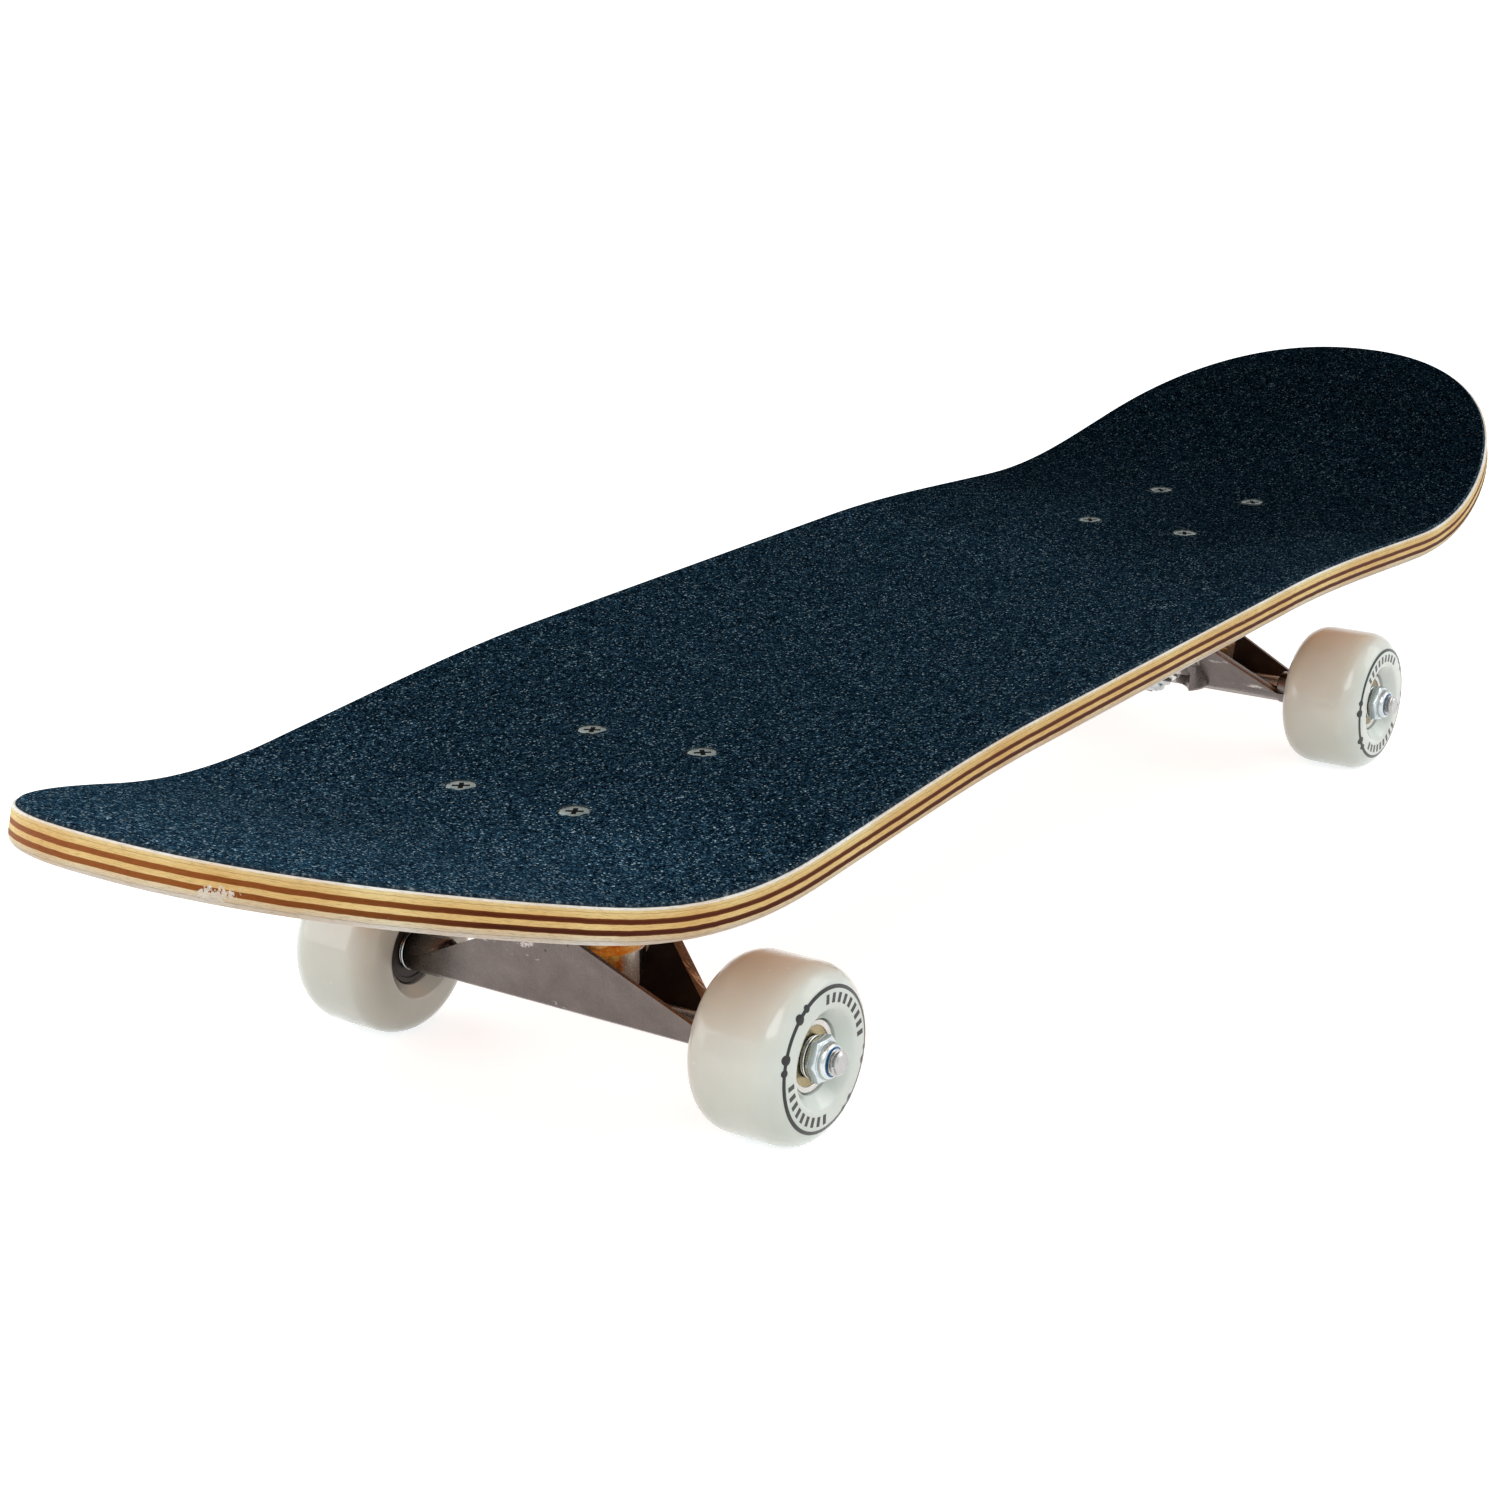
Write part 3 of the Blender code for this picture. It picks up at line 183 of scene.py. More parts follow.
def turned(bm, *matrices):
    """The mesh placed by the matrices, the last one first."""
    for matrix in reversed(matrices):
        bm.transform(matrix)
    return bm


def to_object(bm, name="work"):
    """The mesh as an object of its own."""
    mesh = bpy.data.meshes.new(name)
    bm.to_mesh(mesh)
    bm.free()
    made = bpy.data.objects.new(name, mesh)
    bpy.context.scene.collection.objects.link(made)
    return made


def with_modifier(bm, kind, helper=None, **settings):
    """The mesh with one modifier applied; helper is a mesh that the modifier works with."""
    work = to_object(bm)
    modifier = work.modifiers.new(kind, kind)
    other = to_object(helper) if helper else None
    if other:
        modifier.object = other
    for name, value in settings.items():
        setattr(modifier, name, value)
    baked = bpy.data.meshes.new_from_object(work.evaluated_get(
        bpy.context.evaluated_depsgraph_get()))
    result = bmesh.new()
    result.from_mesh(baked)
    for used in (work, other):
        if used:
            bpy.data.objects.remove(used)
    bpy.data.meshes.remove(baked)
    return result


def cut(bm, tool):
    return with_modifier(bm, "BOOLEAN", tool, operation="DIFFERENCE", solver="EXACT")


def joined(bm, other):
    return with_modifier(bm, "BOOLEAN", other, operation="UNION", solver="EXACT")


def common(bm, other):
    return with_modifier(bm, "BOOLEAN", other, operation="INTERSECT", solver="EXACT")


def gathered(meshes):
    """Several meshes side by side in one."""
    whole = bmesh.new()
    for bm in meshes:
        mesh = bpy.data.meshes.new("part")
        bm.to_mesh(mesh)
        bm.free()
        whole.from_mesh(mesh)
        bpy.data.meshes.remove(mesh)
    return whole


def softened(bm, width, segments=2, angle=32):
    """Sharp edges rounded as casting or tumbling leaves them."""
    bmesh.ops.remove_doubles(bm, verts=bm.verts, dist=2e-6)
    bmesh.ops.dissolve_limit(bm, angle_limit=math.radians(1), verts=bm.verts, edges=bm.edges)
    return with_modifier(bm, "BEVEL", width=width, segments=segments, limit_method="ANGLE",
                         angle_limit=math.radians(angle), use_clamp_overlap=True,
                         miter_outer="MITER_ARC")


# %% [markdown]
# A finished piece keeps its place in its mesh, with its object at the origin, so that patterns
# on Object coordinates stay where they belong. Each piece rides on the body that it belongs to
# and stands for the plain part that it replaces.

# %% Finishing a piece
def finish_piece(name, bm, materials, body, nodes=(), sharp=38):
    """Makes the object, smooths its round faces and hands it to its body."""
    limit = math.radians(sharp)
    for face in bm.faces:
        face.smooth = True
    for edge in bm.edges:
        edge.smooth = len(edge.link_faces) == 2 and edge.calc_face_angle(0.0) < limit
    made = to_object(bm, name)
    for material in materials:
        made.data.materials.append(material)
    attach(made, body)
    if nodes:
        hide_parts(*nodes)
    return made


def copy_of(bm, *matrices):
    """A fresh copy of a mesh, placed."""
    return turned(bm.copy(), *matrices)


# %% [markdown]
# ## Surfaces
# ** Grip tape** is a paper sheet covered with black silicon-carbide grit in resin. The grains
# make a dark blue-black field, and the glints of their facets are painted in as pale sparks.
# Real grit is about 0.3 mm; it is drawn at 0.5 mm here so that it still shows from a step away.
# Grains lie in clumps, and a painted sheen and shade make the sheet paler towards the nose and
# darker towards the tail.

# %% Grip tape
GRIT_SIZE = 0.5 * mm     # coarser than the real 0.3 mm, so that it shows
CLUMP_SIZE = 2.381 * mm
SHEEN_PATCH_SIZE = 111.1 * mm
GRIP, tree, shader, coords = new_material("silicon_carbide_grit", 0.9, Specular_IOR_Level=0.0)
grains = add_node(tree, "TexVoronoi", {"Vector": coords, "Scale": 1 / GRIT_SIZE})
tones = add_node(tree, "SeparateColor", {0: grains.outputs["Color"]})
# The grains' own dark tones, with painted glints of their facets in the palest stops.
grain_tone_and_glints = add_node(tree, "ValToRGB", {0: tones.outputs[0]}, stops=[
    (0.0, "#02080f"), (0.35, "#0d1f2e"), (0.66, "#1e394d"), (0.87, "#35566a"),
    (0.955, "#587a8c"), (1.0, "#b9cdd4")])
clumps = add_node(tree, "TexNoise", {"Vector": coords, "Scale": 1 / CLUMP_SIZE,
                                     "Detail": 3.0})
clump_tone = add_node(tree, "ValToRGB", {0: clumps.outputs[0]},
                      stops=[(0.32, 0.55), (0.5, 0.85), (0.68, 1.3)])
clumped = add_node(tree, "Mix", {0: 1.0, 6: grain_tone_and_glints.outputs[0], 7: clump_tone.outputs[0]},
                   data_type="RGBA", blend_type="MULTIPLY")
# Painted sheen and shade follow the length of the board, from the tail at 0 to the nose at 1,
# made uneven.
place = add_node(tree, "SeparateXYZ", {0: coords})
sheen_patches = add_node(tree, "TexNoise", {"Vector": coords, "Scale": 1 / SHEEN_PATCH_SIZE, "Detail": 5.0})
sheen_along = add_node(tree, "Math", {0: sheen_patches.outputs[0], 1: 0.25, 2: place.outputs[0]},
                 operation="MULTIPLY_ADD")
sheen_from_tail = add_node(tree, "Math", {0: sheen_along.outputs[0], 1: 0.5}, operation="ADD")
# Painted shade darkens the tail end and painted sheen lightens the nose.
painted_sheen_tone = add_node(tree, "ValToRGB", {0: sheen_from_tail.outputs[0]}, stops=[
    (0.3, 0.17), (0.42, 0.24), (0.52, 0.5), (0.84, 0.58), (0.93, 1.0), (1.0, 1.25)])
sheen_painted = add_node(tree, "VectorMath", {0: clumped.outputs[2], "Scale": painted_sheen_tone.outputs[0]},
                operation="SCALE")
tree.links.new(sheen_painted.outputs[0], shader.inputs["Base Color"])
grit_bump = add_node(tree, "Bump", {"Height": grains.outputs["Distance"], "Strength": 0.6,
                                    "Distance": 0.3 * mm}, invert=True)
tree.links.new(grit_bump.outputs[0], shader.inputs["Normal"])

# %% Filed rim of the grip tape, and the torn paper round the bolts
FILE_MARK = 1.1111 * mm
TORN_FIBRE = 1.4286 * mm
GRIP_RIM, tree, shader, coords = new_material("filed_grip_edge", 0.9, Specular_IOR_Level=0.0)
rim_noise = add_node(tree, "TexNoise", {"Vector": coords, "Scale": 1 / FILE_MARK,
                                        "Detail": 3.0})
rim_colour = add_node(tree, "ValToRGB", {0: rim_noise.outputs[0]},
                      stops=[(0.3, "#0d1a26"), (0.55, "#2c3d49"), (0.75, "#8a9498")])
tree.links.new(rim_colour.outputs[0], shader.inputs["Base Color"])

TORN_PAPER, tree, shader, coords = new_material("torn_grip_paper", 0.75)
torn_noise = add_node(tree, "TexNoise", {"Vector": coords, "Scale": 1 / TORN_FIBRE,
                                         "Detail": 4.0})
torn_colour = add_node(tree, "ValToRGB", {0: torn_noise.outputs[0]},
                       stops=[(0.35, "#20292c"), (0.55, "#5a6664"), (0.75, "#9aa5a2")])
tree.links.new(torn_colour.outputs[0], shader.inputs["Base Color"])

# %% [markdown]
# **Maple plywood.** Seven veneers are glued and pressed, two of them stained brown. On the
# sanded edge they show as stripes with short fibres; on the faces the grain runs along the
# board. The stripes follow a depth that each point of the edge carries. The file that trims
# the grip tape leaves a white line on top, the tip is paler from sanding, and a knock by the
# nose has raised white splinters.

# %% Stripes of the plywood's edge
LINE_WOBBLE = 6.25 * mm
LINE_WANDER = 125.0 * mm
PLY_EDGE, tree, shader, coords = new_material("maple_ply_edge", 0.6, Specular_IOR_Level=0.12)
depth = add_node(tree, "Attribute", attribute_name="depth").outputs["Fac"]
depth_share = add_node(tree, "Math", {0: depth, 1: 1 / PLY_STACK}, operation="MULTIPLY")
edge_wobble = add_node(tree, "TexNoise", {"Vector": coords, "Scale": 1 / LINE_WOBBLE,
                                          "Detail": 3.0})
wobble = add_node(tree, "Math", {0: edge_wobble.outputs[0], 1: 0.5}, operation="SUBTRACT")
wobble_small = add_node(tree, "Math", {0: wobble.outputs[0], 1: 0.035,
                                       2: depth_share.outputs[0]}, operation="MULTIPLY_ADD")
wander = add_node(tree, "TexNoise", {"Vector": coords, "Scale": 1 / LINE_WANDER,
                                     "Detail": 1.0})
wander_off = add_node(tree, "Math", {0: wander.outputs[0], 1: 0.5}, operation="SUBTRACT")
wandering = add_node(tree, "Math", {0: wander_off.outputs[0], 1: 0.16,
                                    2: wobble_small.outputs[0]}, operation="MULTIPLY_ADD")
ply_colour = add_node(tree, "ValToRGB", {0: wandering.outputs[0]}, stops=[
    (0.0, "#fae9b8"), (0.13, "#f7dd9e"), (0.143, "#c89d5c"), (0.155, "#f9df9f"),
    (0.279, "#f3d08c"), (0.291, "#7d4014"), (0.35, "#4f2005"), (0.42, "#6d3309"),
    (0.434, "#f6d592"), (0.565, "#f6d797"), (0.577, "#6b3009"), (0.65, "#3d1603"),
    (0.708, "#672f08"), (0.722, "#f6e2b8"), (0.85, "#eee3cd"), (0.862, "#baa88a"),
    (0.875, "#f0e9de"), (1.0, "#fbf7f0")])

# %% Filed line, chip and sanded tip
FILED_DEPTH = 0.5 * mm
CHIP_PLACE = Vector((0.384, 0.0331, 0.1220))
CHIP_SQUASH = Vector((1.0, 1.0, 2.6))     # the chip is 2.6 times as long as it is high
CHIP_REACH = 9.0 * mm
SPLINTER = 1.25 * mm
TIP_START, TIP_END = 335 * mm, 385 * mm
filed = add_node(tree, "Math", {0: depth, 1: FILED_DEPTH}, operation="LESS_THAN")
chip_flat = add_node(tree, "Mapping", {"Vector": coords, "Scale": CHIP_SQUASH,
                                       "Location": -CHIP_PLACE * CHIP_SQUASH})
chip_gap = add_node(tree, "VectorMath", {0: chip_flat.outputs[0]}, operation="LENGTH")
chip_fade = add_node(tree, "MapRange", {0: chip_gap.outputs["Value"], 1: 0.0, 2: CHIP_REACH,
                                        3: 0.66, 4: 0.2})
splinters = add_node(tree, "TexNoise", {"Vector": coords, "Scale": 1 / SPLINTER,
                                        "Detail": 3.0, "Distortion": 1.0})
chip_sum = add_node(tree, "Math", {0: splinters.outputs[0], 1: chip_fade.outputs[0]})
chip_mask = add_node(tree, "ValToRGB", {0: chip_sum.outputs[0]},
                     stops=[(0.96, 0.0), (0.98, 1.0)])
tip_place = add_node(tree, "SeparateXYZ", {0: coords})
tip_share = add_node(tree, "MapRange", {0: tip_place.outputs[0], 1: TIP_START, 2: TIP_END,
                                        3: 0.0, 4: 0.85})
sanded = add_node(tree, "Mix", {0: tip_share.outputs[0], 6: ply_colour.outputs[0],
                                7: paint("#a5622c")}, data_type="RGBA", blend_type="LIGHTEN")
chipped = add_node(tree, "Mix", {0: chip_mask.outputs[0], 6: sanded.outputs[2],
                                 7: paint("#f4f1e8")}, data_type="RGBA")
edge_colour = add_node(tree, "Mix", {0: filed.outputs[0], 6: chipped.outputs[2],
                                     7: paint("#fffdf6")}, data_type="RGBA")

# %% Fibres and blotches of the edge
FIBRE_LENGTH = 2.381 * mm
FIBRE_SQUEEZE = 14.0        # fibres are this much finer across the veneers
BLOTCH_SIZE = 29.41 * mm
squeeze = add_node(tree, "CombineXYZ", {0: 0.0, 1: 0.0, 2: depth})
stretched = add_node(tree, "VectorMath", {0: squeeze.outputs[0], 1: (0.0, 0.0, FIBRE_SQUEEZE)},
                     operation="MULTIPLY")
fibre_place = add_node(tree, "VectorMath", {0: coords, 1: stretched.outputs[0]},
                       operation="ADD")
fibres = add_node(tree, "TexNoise", {"Vector": fibre_place.outputs[0],
                                     "Scale": 1 / FIBRE_LENGTH, "Detail": 6.0,
                                     "Roughness": 0.65})
fibre_tone = add_node(tree, "ValToRGB", {0: fibres.outputs[0]},
                      stops=[(0.3, 0.6), (0.52, 1.0)])
blotches = add_node(tree, "TexNoise", {"Vector": coords, "Scale": 1 / BLOTCH_SIZE,
                                       "Detail": 2.0})
blotch_tone = add_node(tree, "ValToRGB", {0: blotches.outputs[0]},
                       stops=[(0.3, "#e0bf98"), (0.65, "#ffffff")])
fibred = add_node(tree, "Mix", {0: 1.0, 6: edge_colour.outputs[2], 7: fibre_tone.outputs[0]},
                  data_type="RGBA", blend_type="MULTIPLY")
blotched = add_node(tree, "Mix", {0: 0.6, 6: fibred.outputs[2], 7: blotch_tone.outputs[0]},
                    data_type="RGBA", blend_type="MULTIPLY")
tree.links.new(blotched.outputs[2], shader.inputs["Base Color"])
fibre_bump = add_node(tree, "Bump", {"Height": fibres.outputs[0], "Strength": 0.25,
                                     "Distance": 0.2 * mm})
tree.links.new(fibre_bump.outputs[0], shader.inputs["Normal"])

# %% Faces of the plywood: stained amber and lacquered, with the grain along the board
FIGURE_LONG, FIGURE_ACROSS = 92.593 * mm, 7.9365 * mm
PORE_LONG, PORE_ACROSS = 33.333 * mm, 0.71429 * mm
PLY_FACE, tree, shader, coords = new_material("maple_veneer", 0.32, Coat_Weight=0.4,
                                              Coat_Roughness=0.15)
along = add_node(tree, "Mapping", {"Vector": coords, "Scale": (
    1 / FIGURE_LONG, 1 / FIGURE_ACROSS, 1 / FIGURE_ACROSS)})
figure = add_node(tree, "TexNoise", {"Vector": along.outputs[0], "Scale": 1.0, "Detail": 6.0,
                                     "Roughness": 0.55, "Distortion": 0.6})
figure_colour = add_node(tree, "ValToRGB", {0: figure.outputs[0]}, stops=[
    (0.25, "#cf7028"), (0.45, "#ea923e"), (0.6, "#f5a854"), (0.8, "#dd8436")])
pores = add_node(tree, "Mapping", {"Vector": coords, "Scale": (
    1 / PORE_LONG, 1 / PORE_ACROSS, 1 / PORE_ACROSS)})
pore_noise = add_node(tree, "TexNoise", {"Vector": pores.outputs[0], "Scale": 1.0,
                                         "Detail": 3.0})
pore_tone = add_node(tree, "ValToRGB", {0: pore_noise.outputs[0]},
                     stops=[(0.3, 0.82), (0.5, 1.0)])
veneer = add_node(tree, "Mix", {0: 1.0, 6: figure_colour.outputs[0], 7: pore_tone.outputs[0]},
                  data_type="RGBA", blend_type="MULTIPLY")
tree.links.new(veneer.outputs[2], shader.inputs["Base Color"])


# %% [markdown]
# ** Metals.** The hangers and baseplates are aluminium cast in steel moulds and tumbled: a soft
# grey with a fine skin, pits and a few bright scratches. The front of the ring's housing is
# polished and carries a painted amber and dark reflection of the wood; the inner sides of the
# walls are a near-black painted shade. Bolts and nuts are zinc plated steel, smoother and
# brighter, and the bearings are ground and polished.

# %% A worn metal
CLOUD_GRAINS = 24           # a cloud of tone is this many grains wide
SCRATCH_SIZE = (3.8462 * mm, 26.316 * mm, 16.667 * mm)
PIT_SIZE = 3.0303 * mm      # the noise is this wide; a pit is its highest point only
REFLECTION_PATCH_SIZE = 9.0909 * mm
REFLECTION_INNER, REFLECTION_OUTER = 17.4 * mm, 18.6 * mm


def worn_metal(name, dark, light, roughness, grain, scratch=0.0, pits=0.0, painted_reflection=None):
    """A metal skin: mottled tone, uneven gloss, and any scratches, pits or painted reflection
    it has.
    """
    # With a painted reflection the metal is only partly metallic, so that the painted colour
    # shows.
    material, tree, shader, coords = new_material(name, roughness,
                                                  metallic=0.45 if painted_reflection else 1.0)
    clouds = add_node(tree, "TexNoise", {"Vector": coords, "Scale": 1 / (CLOUD_GRAINS * grain),
                                         "Detail": 6.0, "Roughness": 0.6})
    tone = add_node(tree, "ValToRGB", {0: clouds.outputs[0]},
                    stops=[(0.3, dark), (0.7, light)])
    skin = add_node(tree, "TexNoise", {"Vector": coords, "Scale": 1 / grain, "Detail": 4.0})
    gloss = add_node(tree, "MapRange", {0: skin.outputs[0], 1: 0.3, 2: 0.7,
                                        3: roughness - 0.08, 4: roughness + 0.1})
    tree.links.new(gloss.outputs[0], shader.inputs["Roughness"])
    colour = tone.outputs[0]
    if scratch:
        lines = add_node(tree, "Mapping", {"Vector": coords, "Rotation": (0.4, 0.7, 0.5),
                                           "Scale": [1 / size for size in SCRATCH_SIZE]})
        scratches = add_node(tree, "TexNoise", {"Vector": lines.outputs[0], "Scale": 1.0,
                                                "Detail": 7.0, "Roughness": 0.75})
        mask = add_node(tree, "ValToRGB", {0: scratches.outputs[0]},
                        stops=[(0.59, 0.0), (0.63, scratch)])
        colour = add_node(tree, "Mix", {0: mask.outputs[0], 6: colour, 7: paint("#d9d6d2")},
                          data_type="RGBA").outputs[2]
    if pits:
        spots = add_node(tree, "TexNoise", {"Vector": coords, "Scale": 1 / PIT_SIZE,
                                            "Detail": 2.0})
        mask = add_node(tree, "ValToRGB", {0: spots.outputs[0]},
                        stops=[(0.7, 0.0), (0.76, pits)])
        colour = add_node(tree, "Mix", {0: mask.outputs[0], 6: colour, 7: paint("#2b2624")},
                          data_type="RGBA").outputs[2]
    # A painted amber and dark reflection of the wood, laid over the middle of the housing.
    if painted_reflection:
        reflection_patches = add_node(tree, "TexNoise", {"Vector": coords, "Scale": 1 / REFLECTION_PATCH_SIZE,
                                              "Detail": 6.0, "Roughness": 0.65})
        reflection_colour = add_node(tree, "ValToRGB", {0: reflection_patches.outputs[0]}, stops=painted_reflection)
        place = add_node(tree, "SeparateXYZ", {0: coords})
        off_middle = add_node(tree, "Math", {0: place.outputs[1]}, operation="ABSOLUTE")
        share = add_node(tree, "MapRange", {0: off_middle.outputs[0], 1: REFLECTION_INNER,
                                            2: REFLECTION_OUTER, 3: 1.0, 4: 0.0})
        colour = add_node(tree, "Mix", {0: share.outputs[0], 6: colour, 7: reflection_colour.outputs[0]},
                          data_type="RGBA").outputs[2]
    tree.links.new(colour, shader.inputs["Base Color"])
    bump = add_node(tree, "Bump", {"Height": skin.outputs[0], "Strength": 0.2,
                                   "Distance": 0.15 * mm})
    tree.links.new(bump.outputs[0], shader.inputs["Normal"])
    return material


# %% Metals
# Aluminium with the skin of the mould, dull and warm grey.
CAST = worn_metal("cast_aluminium", "#676160", "#79726f", 0.3, 0.5 * mm, 0.8, 0.7)
PLATE = worn_metal("tumbled_aluminium", "#77716f", "#8b8582", 0.34, 0.5 * mm, 0.5, 0.5)
# Polished cast aluminium: bright, with a painted amber and dark reflection of the wood.
POLISHED_REFLECTION = worn_metal("polished_aluminium_painted_reflection", "#efece6", "#fbfaf5", 0.22, 0.6 * mm, 0.5, painted_reflection=[
    (0.3, "#3a2a1e"), (0.38, "#d8601e"), (0.45, "#eeae46"), (0.6, "#fbd78a"), (0.7, "#cf7f28")])
# Cast aluminium in painted shade, nearly black, for the inner sides of the walls.
WALL_SHADE = worn_metal("aluminium_painted_shade", "#2a2422", "#3b3431", 0.42, 0.5 * mm, 0.0, 0.7)
# Drawn, plated and ground steels, from dull to mirror bright.
AXLE_STEEL = worn_metal("drawn_axle_steel", "#a5a5a5", "#bdbdbd", 0.26, 0.4 * mm)
ZINC = worn_metal("zinc_plated_steel", "#b3bcc0", "#d5dbdd", 0.2, 0.3 * mm)
HEAD_STEEL = worn_metal("phosphated_bolt_steel", "#5d6563", "#7b847f", 0.42, 0.3 * mm)
RACE = worn_metal("ground_bearing_steel", "#b9b8b4", "#cfcecb", 0.14, 0.25 * mm)
SHIELD = worn_metal("yellow_passivated_shield", "#857856", "#a39673", 0.22, 0.3 * mm)

# %% [markdown]
# **Cast urethane and plastics.** The wheels are poured polyurethane: a milky white with a
# glossy skin that light enters a little way. The ring and marks on them are pad-printed ink.
# Bushings are the same stuff in amber, and the lock nuts hold a blue nylon ring. On the inside
# of the wheels the bearings, race and seal alike, are a dark brown painted shade.

# %% Urethane, ink and nylon
HAZE_SIZE = 22.222 * mm
SCUFF_SIZE = 3.8462 * mm
URETHANE, tree, shader, coords = new_material(
    "poured_urethane", 0.16, Coat_Weight=0.35, Coat_Roughness=0.06,
    Subsurface_Weight=0.25, Subsurface_Scale=2.0 * mm)
shader.inputs["Subsurface Radius"].default_value = (1.0, 0.8, 0.6)
haze = add_node(tree, "TexNoise", {"Vector": coords, "Scale": 1 / HAZE_SIZE, "Detail": 3.0})
haze_colour = add_node(tree, "ValToRGB", {0: haze.outputs[0]},
                       stops=[(0.3, "#dde7df"), (0.7, "#e8f0e9")])
tree.links.new(haze_colour.outputs[0], shader.inputs["Base Color"])
scuff = add_node(tree, "TexNoise", {"Vector": coords, "Scale": 1 / SCUFF_SIZE, "Detail": 5.0})
scuff_gloss = add_node(tree, "MapRange", {0: scuff.outputs[0], 1: 0.4, 2: 0.75,
                                          3: 0.12, 4: 0.3})
tree.links.new(scuff_gloss.outputs[0], shader.inputs["Roughness"])


def plain_surface(name, dark, light, roughness, size):
    """A moulded or printed surface with a faint mottle."""
    material, tree, shader, coords = new_material(name, roughness)
    mottle = add_node(tree, "TexNoise", {"Vector": coords, "Scale": 1 / size, "Detail": 4.0})
    tone = add_node(tree, "ValToRGB", {0: mottle.outputs[0]}, stops=[(0.3, dark), (0.7, light)])
    tree.links.new(tone.outputs[0], shader.inputs["Base Color"])
    bump = add_node(tree, "Bump", {"Height": mottle.outputs[0], "Strength": 0.15,
                                   "Distance": 0.1 * mm})
    tree.links.new(bump.outputs[0], shader.inputs["Normal"])
    return material


INK = plain_surface("pad_printed_ink", "#050506", "#121315", 0.3, 0.6 * mm)
BUSHING = plain_surface("amber_urethane", "#c58a3c", "#d89d4c", 0.3, 6 * mm)
CUP_NYLON = plain_surface("black_nylon", "#101011", "#1d1d1f", 0.45, 2 * mm)
BLUE_NYLON = plain_surface("blue_nylon", "#14619b", "#2a7fb8", 0.35, 1 * mm)
# A dark brown painted shade, laid on the inner bearings' race and seal alike.
INNER_BEARING_SHADE = plain_surface("inner_bearing_painted_shade", "#1c1512", "#2c221d", 0.5, 2 * mm)
# Near-black painted shade for the inside of the bolts' cross recesses.
RECESS_SHADE = plain_surface("painted_recess_shade", "#050607", "#0c0e0f", 0.7, 1 * mm)
print("materials:", len(bpy.data.materials))

# %% [markdown]
# ## The deck and its grip tape
# A deck is pressed flat in the middle with shallow concave sides, and both ends bend up. Its
# shape is a rule: the point at a length along the board and a distance from its middle. A
# grid is bent by that rule, its rim is pulled down level by level, and a copy of the grid
# closes the underside.

# %% The shape of the board
# Each end is flat to its kick, bends on a radius through an angle and runs on straight. Its
# outline starts to close at "round", and two powers and the curl shape it.
NOSE = {"length": 393.6 * mm, "kick": 225.0 * mm, "bend": 275.0 * mm,
        "angle": math.radians(16.6), "round": 215.0 * mm, "along": 2.02, "across": 2.39,
        "curl": -0.34}
TAIL = {"length": 393.8 * mm, "kick": 219.0 * mm, "bend": 310.0 * mm,
        "angle": math.radians(17.24), "round": 193.5 * mm, "along": 3.12, "across": 2.14,
        "curl": -0.38}
HALF_WIDTH = 98.4 * mm
TAPER, TAPER_LENGTH = 0.7 * mm, 250.0 * mm    # the sides draw in a little towards the ends
CONCAVE_RISE = 7.0 * mm
CONCAVE_POWER = 2.21
FADE_BEFORE = 127.0 * mm
FADE_AFTER = 63.0 * mm


def deck_point(s, y, lift):
    """The point of the board at arc length s and side distance y, lifted off the wood's top."""
    end = NOSE if s >= 0 else TAIL
    flat = min(abs(s), end["kick"])
    bend = min(abs(s) - flat, end["bend"] * end["angle"])
    straight = abs(s) - flat - bend
    angle = bend / end["bend"]
    x = flat + end["bend"] * math.sin(angle) + straight * math.cos(angle)
    z = end["bend"] * (1 - math.cos(angle)) + straight * math.sin(angle)
    fade = (abs(s) - end["kick"] + FADE_BEFORE) / (FADE_BEFORE + FADE_AFTER)
    fade = min(max(fade, 0.0), 1.0)
    fade = fade * fade * (3 - 2 * fade)
    rise = CONCAVE_RISE * (1 - fade + end["curl"] * fade)
    off = lift + rise * (abs(y) / HALF_WIDTH) ** CONCAVE_POWER
    x -= off * math.sin(angle)
    return Vector((math.copysign(x, s), y, WOOD_TOP_Z + z + off * math.cos(angle)))


# %% A board as a bent grid
STRAIGHT_STEPS = 44
ROUND_STEPS = 44
ACROSS_STEPS = 40
TIP_SHARE = 0.99995    # just short of the tip, where all the points would meet
SIDE_CROWD = 0.35      # how far the rows crowd towards the rim


def stations():
    """(end, length along, share of the rounded end) for each row of the grid."""
    rows = []
    last = math.asin(TIP_SHARE)
    for end, sign in ((TAIL, -1), (NOSE, 1)):
        half = [(end, sign * end["round"] * i / STRAIGHT_STEPS, 0.0)
                for i in range(1, STRAIGHT_STEPS)]
        half += [(end, sign, math.sin(last * i / ROUND_STEPS)) for i in range(ROUND_STEPS + 1)]
        rows += half[::-1] + [(NOSE, 0.0, 0.0)] if sign < 0 else half
    return rows


def row_point(row, side, inset, lift):
    """The point of a row at a share of its half width, on a level of the board."""
    end, s, share = row
    if abs(s) == 1:
        s *= end["round"] + (end["length"] - inset - end["round"]) * share
    width = HALF_WIDTH - inset - TAPER * (s / TAPER_LENGTH) ** 2
    width *= (1 - share ** end["along"]) ** (1 / end["across"])
    return deck_point(s, side * width, lift)


